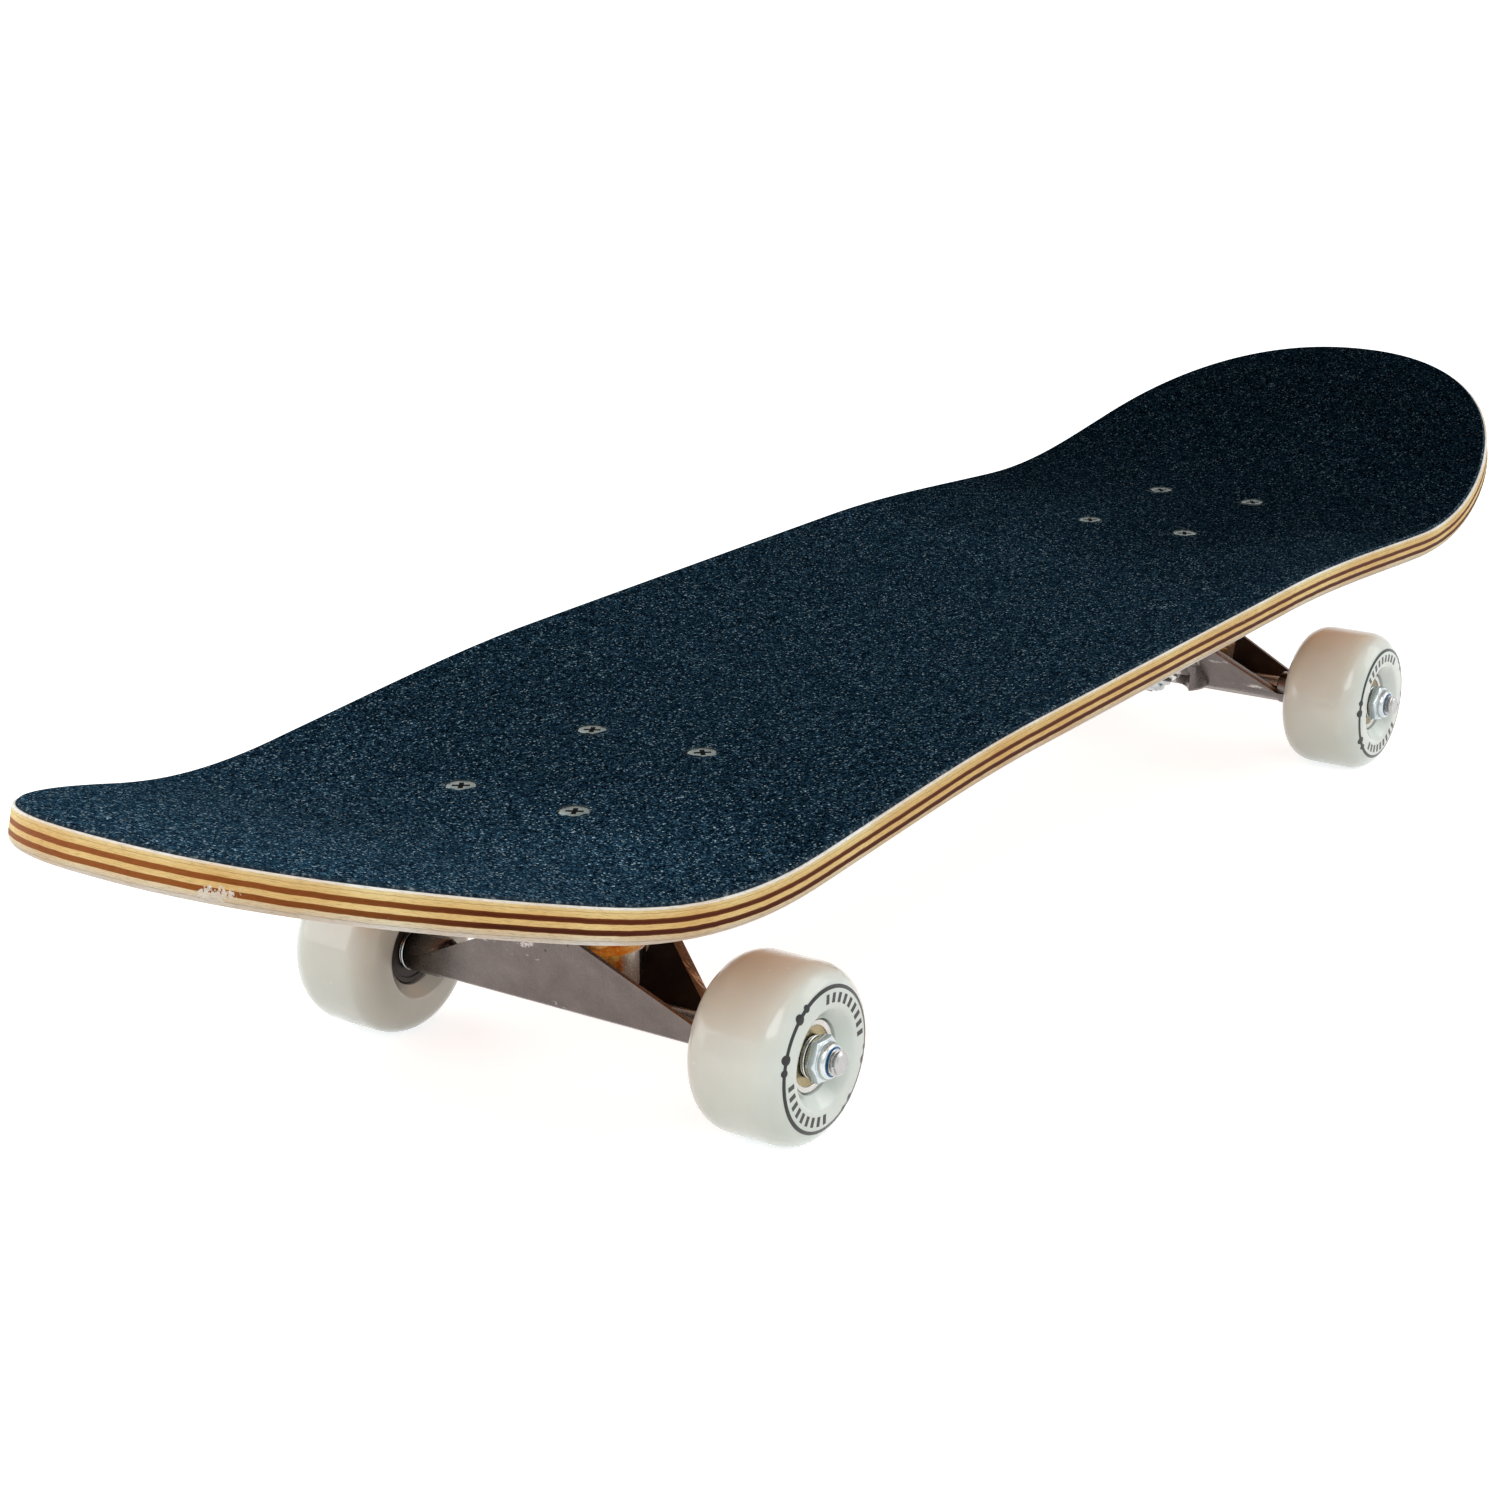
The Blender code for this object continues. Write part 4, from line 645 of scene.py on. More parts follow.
def board_solid(levels):
    """A board through (inset, lift) levels, and the depth of each point under the first."""
    rows = stations()
    bm = bmesh.new()
    bm.verts.layers.int.new("row")
    bm.verts.layers.int.new("level")
    bm.verts.layers.float.new("side")
    bm.verts.layers.float.new("depth")
    row_layer = bm.verts.layers.int["row"]
    level_layer = bm.verts.layers.int["level"]
    side_layer = bm.verts.layers.float["side"]
    depth_layer = bm.verts.layers.float["depth"]
    bmesh.ops.create_grid(bm, x_segments=len(rows) - 1, y_segments=ACROSS_STEPS, size=0.5)
    for v in bm.verts:
        side = v.co.y * 2
        v[row_layer] = round((v.co.x + 0.5) * (len(rows) - 1))
        v[side_layer] = (math.sin(side * math.pi / 2) * SIDE_CROWD
                         + side * (1 - SIDE_CROWD))
    sheet = list(bm.faces)
    for face in sheet:
        face.material_index = 1
    rim = [e for e in bm.edges if e.is_boundary]
    for level in range(1, len(levels)):
        grown = bmesh.ops.extrude_edge_only(bm, edges=rim)["geom"]
        rim = [e for e in grown if isinstance(e, bmesh.types.BMEdge) and e.is_boundary]
        for v in {v for e in rim for v in e.verts}:
            v[level_layer] = level
        for face in grown:
            if isinstance(face, bmesh.types.BMFace):
                face.material_index = 0
    under = bmesh.ops.duplicate(bm, geom=sheet + list({e for f in sheet for e in f.edges})
                                + list({v for f in sheet for v in f.verts}))["geom"]
    for v in points_of(under):
        v[level_layer] = len(levels) - 1
    bmesh.ops.reverse_faces(bm, faces=[f for f in under if isinstance(f, bmesh.types.BMFace)])
    for v in bm.verts:
        inset, lift = levels[v[level_layer]]
        v.co = row_point(rows[v[row_layer]], v[side_layer], inset, lift)
        v[depth_layer] = levels[0][1] - lift
    bmesh.ops.remove_doubles(bm, verts=bm.verts, dist=5e-6)
    bmesh.ops.recalc_face_normals(bm, faces=bm.faces)
    return bm


# %% [markdown]
# The lower edge of the wood is sanded round, and the grip tape is trimmed just inside the
# board's edge with a file, which leaves a thin pale line all the way round. Eight holes go
# through both for the bolts; the tape tears a little where they are pushed through.

# %% Places of the bolts
BOLT_SHIFT = -8.4 * mm
BOLT_LONG = 63.5 * mm
BOLT_WIDE = 41.3 * mm
HEAD_PROUD = 0.75 * mm
BOLTS = {}
for truck, side in (("front", 1), ("rear", -1)):
    corners = [(along, across) for along in (1, -1) for across in (1, -1)]
    for number, (along, across) in enumerate(corners, 1):
        x = side * (AXLE_X + BOLT_SHIFT + along * BOLT_LONG / 2)
        y = across * BOLT_WIDE / 2
        BOLTS[f"{truck}_{number}"] = Vector((x, y, deck_point(x, y, HEAD_PROUD).z))

# %% The wood and the grip tape as levels of (inset, lift)
ROUNDING = 3.0 * mm
ROUNDING_STEPS = 6
WALL_SHARE = 0.70      # of the edge is upright, the rest is sanded round
deck_levels = [(1.6 * mm, 0.0), (0.35 * mm, 0.0), (0.0, -0.33 * mm), (0.0, -0.36 * mm)]
deck_levels += [(0.0, -WALL_SHARE * PLY_STACK * share) for share in (0.35, 0.7, 1.0)]
for i in range(1, ROUNDING_STEPS + 1):
    turn = math.pi / 2 * i / ROUNDING_STEPS
    deck_levels.append((ROUNDING * (1 - math.cos(turn)),
                        -PLY_STACK * (WALL_SHARE + (1 - WALL_SHARE) * math.sin(turn))))
deck_bm = board_solid(deck_levels)
grip_levels = [(1.6 * mm, 0.9 * mm), (1.3 * mm, 0.8 * mm), (0.9 * mm, 0.3 * mm),
               (0.8 * mm, 0.05 * mm)]
grip_bm = board_solid(grip_levels)

# %% Cut the bolt holes
RAGGED_CORNERS = 26
COUNTERSINK = [(0.0, 9 * mm), (5.0 * mm, 9 * mm), (5.0 * mm, -0.7 * mm),
               (2.7 * mm, -3.4 * mm), (2.7 * mm, -30 * mm), (0.0, -30 * mm)]


def ragged_disc(seed, outer, jitter, low, high):
    """A disc with a torn rim, between two heights."""
    draw = random.Random(seed)
    bm = bmesh.new()
    bmesh.ops.create_circle(bm, cap_ends=True, segments=RAGGED_CORNERS, radius=outer)
    for v in bm.verts:
        v.co *= 1 + draw.uniform(-0.2, 1.0) * jitter / outer
    moved = bmesh.ops.extrude_face_region(bm, geom=list(bm.faces))["geom"]
    bmesh.ops.translate(bm, vec=(0, 0, high - low), verts=points_of(moved))
    bmesh.ops.translate(bm, vec=(0, 0, low), verts=bm.verts)
    bmesh.ops.recalc_face_normals(bm, faces=bm.faces)
    return bm


deck_bm = cut(deck_bm, gathered([
    turned(lathe(COUNTERSINK, 32), Matrix.Translation(place)) for place in BOLTS.values()]))
grip_bm = cut(grip_bm, gathered([
    turned(ragged_disc(i, 5.2 * mm, 0.8 * mm, -9 * mm, 9 * mm), Matrix.Translation(place))
    for i, place in enumerate(BOLTS.values())]))
for face in grip_bm.faces:
    face.material_index = 0 if face.material_index == 1 else 1
deck = finish_piece("deck_wood", deck_bm, [PLY_EDGE, PLY_FACE], "board", ["deck"])
grip = finish_piece("grip_sheet", grip_bm, [GRIP, GRIP_RIM], "board",
                    ["grip_tape"])
print("deck:", len(deck.data.polygons), "faces, grip:", len(grip.data.polygons), "faces")

# %% [markdown]
# ## Bolts and lock nuts
# A thread is one ridge wound round a core. A lock nut is a hexagon with both faces turned
# round at their corners, and a collar rolled over a nylon ring. The hexagon comes from a
# six-sided bar and a turned blank: what both have in common is the nut.

# %% Thread
def threaded(radius, start, end, pitch, segments=24):
    """A thread on Z: a core with one sharp ridge wound round it."""
    core = radius - 0.55 * pitch
    turns = int((end - start) / pitch) - 1
    bm = bmesh.new()
    root = core - 0.2 * pitch
    corners = [(root, -0.45 * pitch), (radius, 0.0), (root, 0.45 * pitch)]
    face = bm.faces.new([bm.verts.new((r, 0.0, start + pitch + z)) for r, z in corners])
    bmesh.ops.spin(bm, geom=[face], cent=(0, 0, 0), axis=(0, 0, 1),
                   dvec=(0, 0, pitch / segments), angle=2 * math.pi * turns,
                   steps=segments * turns)
    bmesh.ops.recalc_face_normals(bm, faces=bm.faces)
    return gathered([bm, lathe([(0.0, start), (core, start), (core, end - 0.4 * mm),
                                (core - 0.4 * mm, end), (0.0, end)], 40)])


# %% Lock nut
SIXTH = Matrix.Rotation(math.pi / 6, 4, "Z")


def lock_nut(flats, height, shaft):
    """A hexagon nut with a rolled collar, on Z from height 0, and its nylon ring."""
    corner = flats / math.sqrt(3)
    face_radius = flats / 2 * 0.97
    hexagon = 0.6 * height
    chamfer = (corner - face_radius) * math.tan(math.radians(30))
    bar = bmesh.new()
    bmesh.ops.create_cone(bar, cap_ends=True, segments=6, radius1=corner, radius2=corner,
                          depth=hexagon,
                          matrix=Matrix.Translation((0, 0, hexagon / 2)) @ SIXTH)
    blank = lathe([(0.0, 0.0), (face_radius, 0.0), (corner + 0.1 * mm, chamfer),
                   (corner + 0.1 * mm, hexagon - chamfer), (face_radius, hexagon),
                   (0.0, hexagon)], 72)
    nut = common(bar, blank)
    collar = 0.44 * flats
    mouth = collar - 0.13 * flats
    nut = joined(nut, lathe([
        (0.0, hexagon - 0.6 * mm), (collar, hexagon - 0.6 * mm),
        (collar, height - 0.25 * height), (collar - 0.3 * mm, height - 0.08 * height),
        (collar - 0.8 * mm, height), (mouth, height), (mouth - 0.2 * mm, height - 0.3 * mm),
        (0.0, height - 0.3 * mm)], 72))
    nut = cut(nut, rod(shaft + 0.1 * mm, -5 * mm, height + 5 * mm, 48))
    nylon = lathe([(shaft + 0.05 * mm, height - 0.25 * mm),
                   (shaft + 0.5 * mm, height + 0.02 * mm),
                   (mouth - 0.35 * mm, height + 0.02 * mm),
                   (mouth - 0.25 * mm, height - 0.25 * mm)], 48, closed=True)
    return softened(nut, 0.12 * mm, 1, 25), nylon


# %% [markdown]
# A deck bolt is countersunk, with a cross recess that is cut as two grooves, one after the
# other. Its head, the nut below and a frayed ring of torn grip tape round it make one set.

# %% Deck bolts
HEAD_RADIUS = 4.75 * mm
SHAFT_RADIUS = 2.38 * mm
SHAFT_START = -12.0 * mm
THREAD_PITCH = 0.79 * mm
GROOVE = Matrix.Diagonal((5.3 * mm, 1.5 * mm, 3.0 * mm, 1.0))
UPSIDE_DOWN = Matrix.Rotation(math.pi, 4, "X")
head = lathe([(0.0, 0.0), (HEAD_RADIUS - 0.5 * mm, 0.0), (HEAD_RADIUS, -0.25 * mm),
              (HEAD_RADIUS, -0.5 * mm), (SHAFT_RADIUS, -3.0 * mm),
              (SHAFT_RADIUS, SHAFT_START), (0.0, SHAFT_START)], 48)
for quarter in (0, 1):
    groove = bmesh.new()
    bmesh.ops.create_cube(groove, size=1.0,
                          matrix=Matrix.Rotation(quarter * math.pi / 2, 4, "Z") @ GROOVE)
    head = cut(head, groove)
# Faces inside the cross recess take the near-black painted shade.
for face in head.faces:
    centre = face.calc_center_median()
    if -2.4 * mm < centre.z < -0.01 * mm and math.hypot(centre.x, centre.y) < 3.0 * mm:
        face.material_index = 1
bolt_shape = gathered([head, turned(threaded(SHAFT_RADIUS, 0.0, 17.5 * mm, THREAD_PITCH),
                                    UPSIDE_DOWN, Matrix.Translation((0, 0, 11.0 * mm)))])
print("bolt faces:", len(bolt_shape.faces))

# %% Deck nuts and torn rings, and their places
PLATE_THICK = 6.5 * mm
NUT_TOP = AXLE_Z + SEAT_HEIGHT - PLATE_THICK - GAP
nut_shape, nylon_shape = lock_nut(9.5 * mm, 6.0 * mm, SHAFT_RADIUS)
for i, (name, place) in enumerate(BOLTS.items()):
    spin = Matrix.Rotation(0.59 + 0.11 * (i % 3 - 1), 4, "Z")
    finish_piece(f"bolt_{name}", copy_of(bolt_shape, Matrix.Translation(place), spin),
                 [HEAD_STEEL, RECESS_SHADE], "board", [f"deck_bolt_{name}"])
    under = Matrix.Translation((place.x, place.y, NUT_TOP)) @ UPSIDE_DOWN
    finish_piece(f"nut_{name}", copy_of(nut_shape, under, spin), [ZINC], "board",
                 [f"deck_nut_{name}"])
    finish_piece(f"nut_ring_{name}", copy_of(nylon_shape, under, spin), [BLUE_NYLON], "board")
    torn = cut(rod(5.9 * mm, 0.04 * mm, 0.24 * mm, 48),
               ragged_disc(i, 4.2 * mm, 1.1 * mm, -1 * mm, 1 * mm))
    for face in torn.faces:
        face.material_index = 0 if abs(face.normal.z) > 0.5 else 1
    finish_piece(f"torn_grip_{name}", turned(torn, Matrix.Translation(place)),
                 [GRIP, TORN_PAPER], "board")
print("bolts:", len(BOLTS))

# %% [markdown]
# ## Trucks
# The baseplate is a flat casting with two lumps under it: a tilted boss that holds the
# kingpin's head, and a socket for the pivot. Each lump is a turned bar joined to the plate,
# then the holes are cut and every sharp edge is rounded, as on a tumbled casting.

# %% Baseplate
BOSS_BOTTOM = 19.2 * mm
HEAD_SEAT = 30.7 * mm
PIVOT_MOUTH = 35.9 * mm
PLATE_HALF = (40.0 * mm, 28.5 * mm)
PLATE_CORNER = 9 * mm
CORNER_STEPS = 8
underside = SEAT_HEIGHT - PLATE_THICK
plate_x = (BOLT_SHIFT - PLATE_HALF[0], BOLT_SHIFT + PLATE_HALF[0])
plate_y = PLATE_HALF[1]
outline = []
for i, (x, y) in enumerate(((plate_x[1], plate_y), (plate_x[0], plate_y),
                            (plate_x[0], -plate_y), (plate_x[1], -plate_y))):
    inner = Vector((x - math.copysign(PLATE_CORNER, x - BOLT_SHIFT),
                    y - math.copysign(PLATE_CORNER, y), 0))
    for step in range(CORNER_STEPS + 1):
        angle = math.pi / 2 * (i + step / CORNER_STEPS)
        outline.append(inner + Vector((PLATE_CORNER * math.cos(angle),
                                       PLATE_CORNER * math.sin(angle), underside)))
plate = pushed(outline, (0, 0, PLATE_THICK))


def below(bm, height):
    """The part of a solid under a height, closed."""
    made = bmesh.ops.bisect_plane(bm, geom=bm.verts[:] + bm.edges[:] + bm.faces[:],
                                  plane_co=(0, 0, height), plane_no=(0, 0, 1), clear_outer=True)
    rim = [item for item in made["geom_cut"] if isinstance(item, bmesh.types.BMEdge)]
    if rim:
        bmesh.ops.edgeloop_fill(bm, edges=rim)
        bmesh.ops.recalc_face_normals(bm, faces=bm.faces)
    return bm


middle = underside + PLATE_THICK / 2
mouth = ALONG_STEER @ Vector((0, 0, PIVOT_MOUTH))
plate = joined(plate, below(turned(lathe([
    (0.0, BOSS_BOTTOM), (12.6 * mm, BOSS_BOTTOM), (13.0 * mm, BOSS_BOTTOM + 3 * mm),
    (14.5 * mm, 47 * mm), (0.0, 47 * mm)], 64), ALONG_KINGPIN), middle))
plate = joined(plate, below(turned(rod(11.8 * mm, PIVOT_MOUTH, 50.2 * mm), ALONG_STEER),
                            middle))
neck = [(mouth.x + 0.5 * mm, middle), (mouth.x + 2.5 * mm, mouth.z + 5.5 * mm),
        (plate_x[1] - 0.7 * mm, mouth.z + 4.5 * mm), (plate_x[1] - 0.7 * mm, middle)]
plate = joined(plate, pushed([(x, -9 * mm, z) for x, z in neck], (0, 18 * mm, 0)))
holes = [turned(rod(2.8 * mm, 0.0, 90 * mm, 32), Matrix.Translation(
    (BOLT_SHIFT + along * BOLT_LONG / 2, across * BOLT_WIDE / 2, 0)))
    for along in (1, -1) for across in (1, -1)]
holes.append(turned(lathe([(0.0, 0.0), (5.2 * mm, 0.0), (5.2 * mm, HEAD_SEAT),
                           (8.8 * mm, HEAD_SEAT), (8.8 * mm, 80 * mm), (0.0, 80 * mm)]),
                    ALONG_KINGPIN))
holes.append(turned(rod(9.2 * mm, 22 * mm, 47.6 * mm), ALONG_STEER))
for hole in holes:
    plate = cut(plate, hole)
plate = softened(plate, 0.7 * mm, 3)
for name, truck in TRUCKS.items():
    finish_piece(f"baseplate_casting_{name}", copy_of(plate, truck), [PLATE], "board",
                 [f"baseplate_{name}"])
print("baseplate faces:", len(plate.faces))

# %% [markdown]
# The kingpin clamps the hanger between two urethane bushings, each with a cupped steel washer,
# so the hanger can lean and the wheels steer. All of them are turned shapes on one axis.

# %% Kingpin, bushings, washers and pivot cup
WEB = 3.5 * mm                # half of the ring's thickness
BORE = 5.2 * mm
PIN_RADIUS = 4.76 * mm
PIN_PITCH = 1.06 * mm
WASHER_THICK = 1.3 * mm
PIN_NUT_HEIGHT = 5.8 * mm
board_low = WEB + GAP
board_high = board_low + 13.5 * mm
road_high = -(WEB + GAP)
road_low = road_high - 9.0 * mm
nut_high = road_low - 2 * GAP - WASHER_THICK
kingpin_end = nut_high - PIN_NUT_HEIGHT - 0.8 * mm
barrel = lathe([(BORE, board_low), (10.8 * mm, board_low), (11.9 * mm, board_low + 0.5 * mm),
                (12.3 * mm, board_low + 2 * mm), (12.5 * mm, (board_low + board_high) / 2),
                (12.3 * mm, board_high - 2 * mm), (11.9 * mm, board_high - 0.5 * mm),
                (10.8 * mm, board_high), (BORE, board_high)], 64, closed=True)
cone = lathe([(BORE, road_high), (10.4 * mm, road_high), (11.3 * mm, road_high - 0.4 * mm),
              (11.5 * mm, road_high - 1.2 * mm), (11.4 * mm, road_high - 3.2 * mm),
              (9.6 * mm, road_low + 0.6 * mm), (9.0 * mm, road_low), (BORE, road_low)], 64,
             closed=True)


def cup_washer(radius, low):
    """A steel washer with its rim turned a little."""
    high = low + WASHER_THICK
    return lathe([(BORE, low), (radius - 0.9 * mm, low), (radius - 0.25 * mm, low + 0.2 * mm),
                  (radius, low + 0.7 * mm), (radius - 0.25 * mm, high - 0.1 * mm),
                  (radius - 0.9 * mm, high), (BORE, high)], 64, closed=True)


# %% Kingpin, its nut and the pivot cup
HEAD_CORNER = 8.26 * mm
HEAD_THICK = 5.5 * mm
head_middle = Matrix.Translation((0, 0, HEAD_SEAT + GAP + HEAD_THICK / 2))
hexagon = bmesh.new()
bmesh.ops.create_cone(hexagon, cap_ends=True, segments=6, radius1=HEAD_CORNER,
                      radius2=HEAD_CORNER, depth=HEAD_THICK, matrix=head_middle @ SIXTH)
kingpin = gathered([softened(hexagon, 0.4 * mm),
                    rod(PIN_RADIUS, nut_high - 1 * mm, HEAD_SEAT + GAP + 1 * mm),
                    turned(threaded(4.7 * mm, -nut_high - 2 * mm, -kingpin_end, PIN_PITCH),
                           UPSIDE_DOWN)])
pin_nut, pin_nylon = lock_nut(14.3 * mm, PIN_NUT_HEIGHT, PIN_RADIUS)
facing_down = Matrix.Translation((0, 0, nut_high)) @ UPSIDE_DOWN
cup = lathe([(0.0, 46.9 * mm), (8.0 * mm, 46.9 * mm), (9.0 * mm, 45.9 * mm),
             (9.0 * mm, 35.6 * mm), (9.5 * mm, 35.6 * mm), (9.5 * mm, 34.8 * mm),
             (6.9 * mm, 34.8 * mm),
             (6.0 * mm, 42.6 * mm), (3.2 * mm, 44.8 * mm), (0.0, 44.8 * mm)], 48)

# %% Put them in both trucks
TRUCK_PIECES = [
    ("kingpin_bolt", kingpin, ALONG_KINGPIN, ZINC, "zinc_plated_steel", "kingpin"),
    ("kingpin_lock_nut", turned(pin_nut, facing_down), ALONG_KINGPIN, ZINC,
     "zinc_plated_steel", "kingpin_nut"),
    ("kingpin_nylon", turned(pin_nylon, facing_down), ALONG_KINGPIN, BLUE_NYLON,
     "pivot_cup_nylon", None),
    ("bushing_barrel", barrel, ALONG_KINGPIN, BUSHING, "bushing_urethane",
     "bushing_board_side"),
    ("bushing_cone", cone, ALONG_KINGPIN, BUSHING, "bushing_urethane", "bushing_road_side"),
    ("washer_board", cup_washer(12.8 * mm, board_high + GAP), ALONG_KINGPIN, ZINC,
     "zinc_plated_steel", "cup_washer_board_side"),
    ("washer_road", cup_washer(10.6 * mm, road_low - GAP - WASHER_THICK), ALONG_KINGPIN, ZINC,
     "zinc_plated_steel", "cup_washer_road_side"),
    ("pivot_cup_moulding", cup, ALONG_STEER, CUP_NYLON, "pivot_cup_nylon", "pivot_cup"),
]
for name, truck in TRUCKS.items():
    for label, shape, axis, material, finish, node in TRUCK_PIECES:
        finish_piece(f"{label}_{name}", copy_of(shape, truck, axis), [material], "board",
                     [f"{node}_{name}"] if node else ())
print("pieces on each kingpin:", len(TRUCK_PIECES))

# %% [markdown]
# The hanger is one casting: a channel open upwards that carries the axle, with a tall thin
# wall on the side of the pivot and a lower one behind the ring. Sections along the axle are
# bridged to make the channel; the ring, the arm with its pivot nub and the two end blocks are
# joined to it, and the seats of the bushings and the axle's hole are cut last.

# %% The hanger's channel
WALL_END = 57.0 * mm
INNER_END = 49.1 * mm
FOOT, BOTTOM = 6.6 * mm, -2.8 * mm      # half width and height of the channel's corners
BELLY, BELLY_Z = 2.4 * mm, -5.4 * mm    # the narrow face under them
TROUGH, TROUGH_Z = 3.8 * mm, -1.0 * mm  # the channel's floor
OUTER_LIP, INNER_LIP = 1.5 * mm, 4.2 * mm
# A peak is (how far out, half length of its level top, height, where it ends, height there).
OUTER_PEAK = (14.0 * mm, 0.0, 28.0 * mm, WALL_END, 0.3 * mm)
INNER_PEAK = (-22.0 * mm, 23.0 * mm, 18.5 * mm, INNER_END, -0.6 * mm)


def wall_top(peak, y):
    """A wall's top outer corner at y: level to its peak's end, then straight down."""
    share = min(max(abs(y) - peak[1], 0.0) / (peak[3] - peak[1]), 1.0)
    z = peak[2] + (peak[4] - peak[2]) * share
    x = FOOT + (z - BOTTOM) * (abs(peak[0]) - FOOT) / (peak[2] - BOTTOM)
    return math.copysign(x, peak[0]), z


def channel_section(y):
    """The open channel, cut across at y."""
    outer_x, outer_z = wall_top(OUTER_PEAK, y)
    inner_x, inner_z = wall_top(INNER_PEAK, y)
    points = [(FOOT, BOTTOM), (outer_x, outer_z), (outer_x - OUTER_LIP, outer_z),
              (TROUGH, TROUGH_Z), (-TROUGH, TROUGH_Z), (inner_x + INNER_LIP, inner_z),
              (inner_x, inner_z), (-FOOT, BOTTOM), (-BELLY, BELLY_Z), (BELLY, BELLY_Z)]
    return [Vector((x, y, z)) for x, z in points]


half = [INNER_PEAK[1], INNER_END, WALL_END]
hanger = bridged([channel_section(y) for y in [-y for y in reversed(half)] + [0.0] + half])
bmesh.ops.triangulate(hanger, faces=hanger.faces)

# %% Ring, its oval housing, arm, pivot nub and end blocks
HOUSING_PLACE = Matrix.Translation((-8 * mm, 0, 0))
HOUSING_OVAL = Matrix.Diagonal((15 * mm, 19.5 * mm, 1.0, 1.0))
ARM_HALF = 8.5 * mm
hanger = joined(hanger, turned(lathe([
    (0.0, -9 * mm), (17.3 * mm, -9 * mm), (18.5 * mm, -7.8 * mm), (18.5 * mm, 5.8 * mm),
    (17.3 * mm, 7 * mm), (0.0, 7 * mm)], 72), ALONG_KINGPIN))
hanger = joined(hanger, turned(lathe([
    (0.0, -3.3 * mm), (0.93, -3.3 * mm), (1.0, -2.0 * mm), (1.0, 15 * mm), (0.0, 15 * mm)], 72),
    HOUSING_PLACE, HOUSING_OVAL))
lean = (OUTER_PEAK[0] - FOOT) / (OUTER_PEAK[2] - BOTTOM)
arm = [Vector((0, 0, BOTTOM + 0.4 * mm)), Vector((FOOT - 0.3 * mm, 0, BOTTOM + 0.4 * mm)),
       Vector((FOOT + (20 * mm - BOTTOM) * lean, 0, 20 * mm)),
       ALONG_STEER @ Vector((6.3 * mm, 0, 34.5 * mm)),
       ALONG_STEER @ Vector((-6.3 * mm, 0, 34.5 * mm)),
       ALONG_KINGPIN @ Vector((17 * mm, 0, 20 * mm)),
       ALONG_KINGPIN @ Vector((17 * mm, 0, 5.5 * mm))]
hanger = joined(hanger, pushed([p - Vector((0, ARM_HALF, 0)) for p in arm],
                               (0, 2 * ARM_HALF, 0)))
hanger = joined(hanger, turned(lathe([
    (0.0, 31.5 * mm), (6.3 * mm, 31.5 * mm), (6.3 * mm, 34.5 * mm), (5.4 * mm, 42.3 * mm),
    (4.4 * mm, 43.8 * mm), (2.7 * mm, 44.5 * mm), (0.0, 44.5 * mm)], 48), ALONG_STEER))
for side in (1, -1):
    hanger = joined(hanger, turned(lathe([
        (0.0, 48 * mm), (5.9 * mm, 48 * mm), (6.3 * mm, 48.5 * mm), (6.3 * mm, 60.2 * mm),
        (5.9 * mm, 60.6 * mm), (0.0, 60.6 * mm)], 48),
        Matrix.Diagonal((1, side, 1, 1)), ALONG_AXLE))

# %% Seats of the bushings, a flare that clears the road-side washer, and the two bores
seats = [turned(rod(13.1 * mm, WEB, 50 * mm), ALONG_KINGPIN),
         turned(rod(12.1 * mm, -50 * mm, -WEB), ALONG_KINGPIN),
         turned(lathe([(0.0, -50 * mm), (17 * mm, -50 * mm), (15.6 * mm, -12 * mm),
                       (12.2 * mm, -7 * mm), (0.0, -7 * mm)]), ALONG_KINGPIN),
         turned(rod(7.0 * mm, -20 * mm, 20 * mm), ALONG_KINGPIN),
         turned(rod(4.1 * mm, -90 * mm, 90 * mm, 48), ALONG_AXLE)]
for seat in seats:
    hanger = cut(hanger, seat)
hanger = softened(hanger, 0.55 * mm, 3)

# %% The housing's polished front with its painted reflection, and the walls' inner sides in painted shade
HOUSING_HALF = 19.7 * mm
CHANNEL_MIDDLE = -4 * mm
for face in hanger.faces:
    centre = face.calc_center_median()
    on_housing = abs(centre.y) < HOUSING_HALF
    # Forward faces of the housing take the polished metal with its painted reflection.
    if (on_housing and -26 * mm < centre.x < 6 * mm and centre.z > -2 * mm
            and face.normal.x > 0):
        face.material_index = 1
    # Inner sides of the walls take a near-black painted shade.
    inward = face.normal.x if centre.x < CHANNEL_MIDDLE else -face.normal.x
    if not on_housing and inward > 0.3 and centre.z > -4 * mm:
        face.material_index = 2
print("hanger faces:", len(hanger.faces))

# %% [markdown]
# The axle runs right through the hanger and is threaded at both ends for the lock nuts.

# %% Axle and hanger pieces
AXLE_HALF = 96.0 * mm
AXLE_RADIUS = 3.95 * mm
PLAIN_HALF = 86.5 * mm     # of the axle, up to its threads
THREAD_START = 84.0 * mm
axle = gathered([rod(AXLE_RADIUS, -PLAIN_HALF, PLAIN_HALF)] + [
    turned(threaded(AXLE_RADIUS, THREAD_START, AXLE_HALF, PIN_PITCH),
           Matrix.Rotation(0 if side > 0 else math.pi, 4, "X")) for side in (1, -1)])
for name, truck in TRUCKS.items():
    finish_piece(f"hanger_casting_{name}", copy_of(hanger, truck), [CAST, POLISHED_REFLECTION, WALL_SHADE],
                 f"hanger_{name}", [f"hanger_{name}"])
    finish_piece(f"axle_bar_{name}", copy_of(axle, truck, ALONG_AXLE), [AXLE_STEEL],
                 f"hanger_{name}", [f"axle_{name}"])

# %% [markdown]
# ## Wheels
# A wheel is cast in one piece: a flat tread, wide rounded lips, and a cone on each face down
# to the bearing. One profile spun round the axle makes it. Two bearings press in, a spacer
# keeps them apart and speed washers keep the nut off the wheel.

# %% Wheel
WHEEL_RADIUS = 27.2 * mm
HALF = 16.5 * mm           # of the wheel's width
LIP_ALONG = 9.1 * mm       # the rounded lip is a quarter of an oval this wide
LIP_INWARD = 7.8 * mm      # and this deep
LIP_STEPS = 16


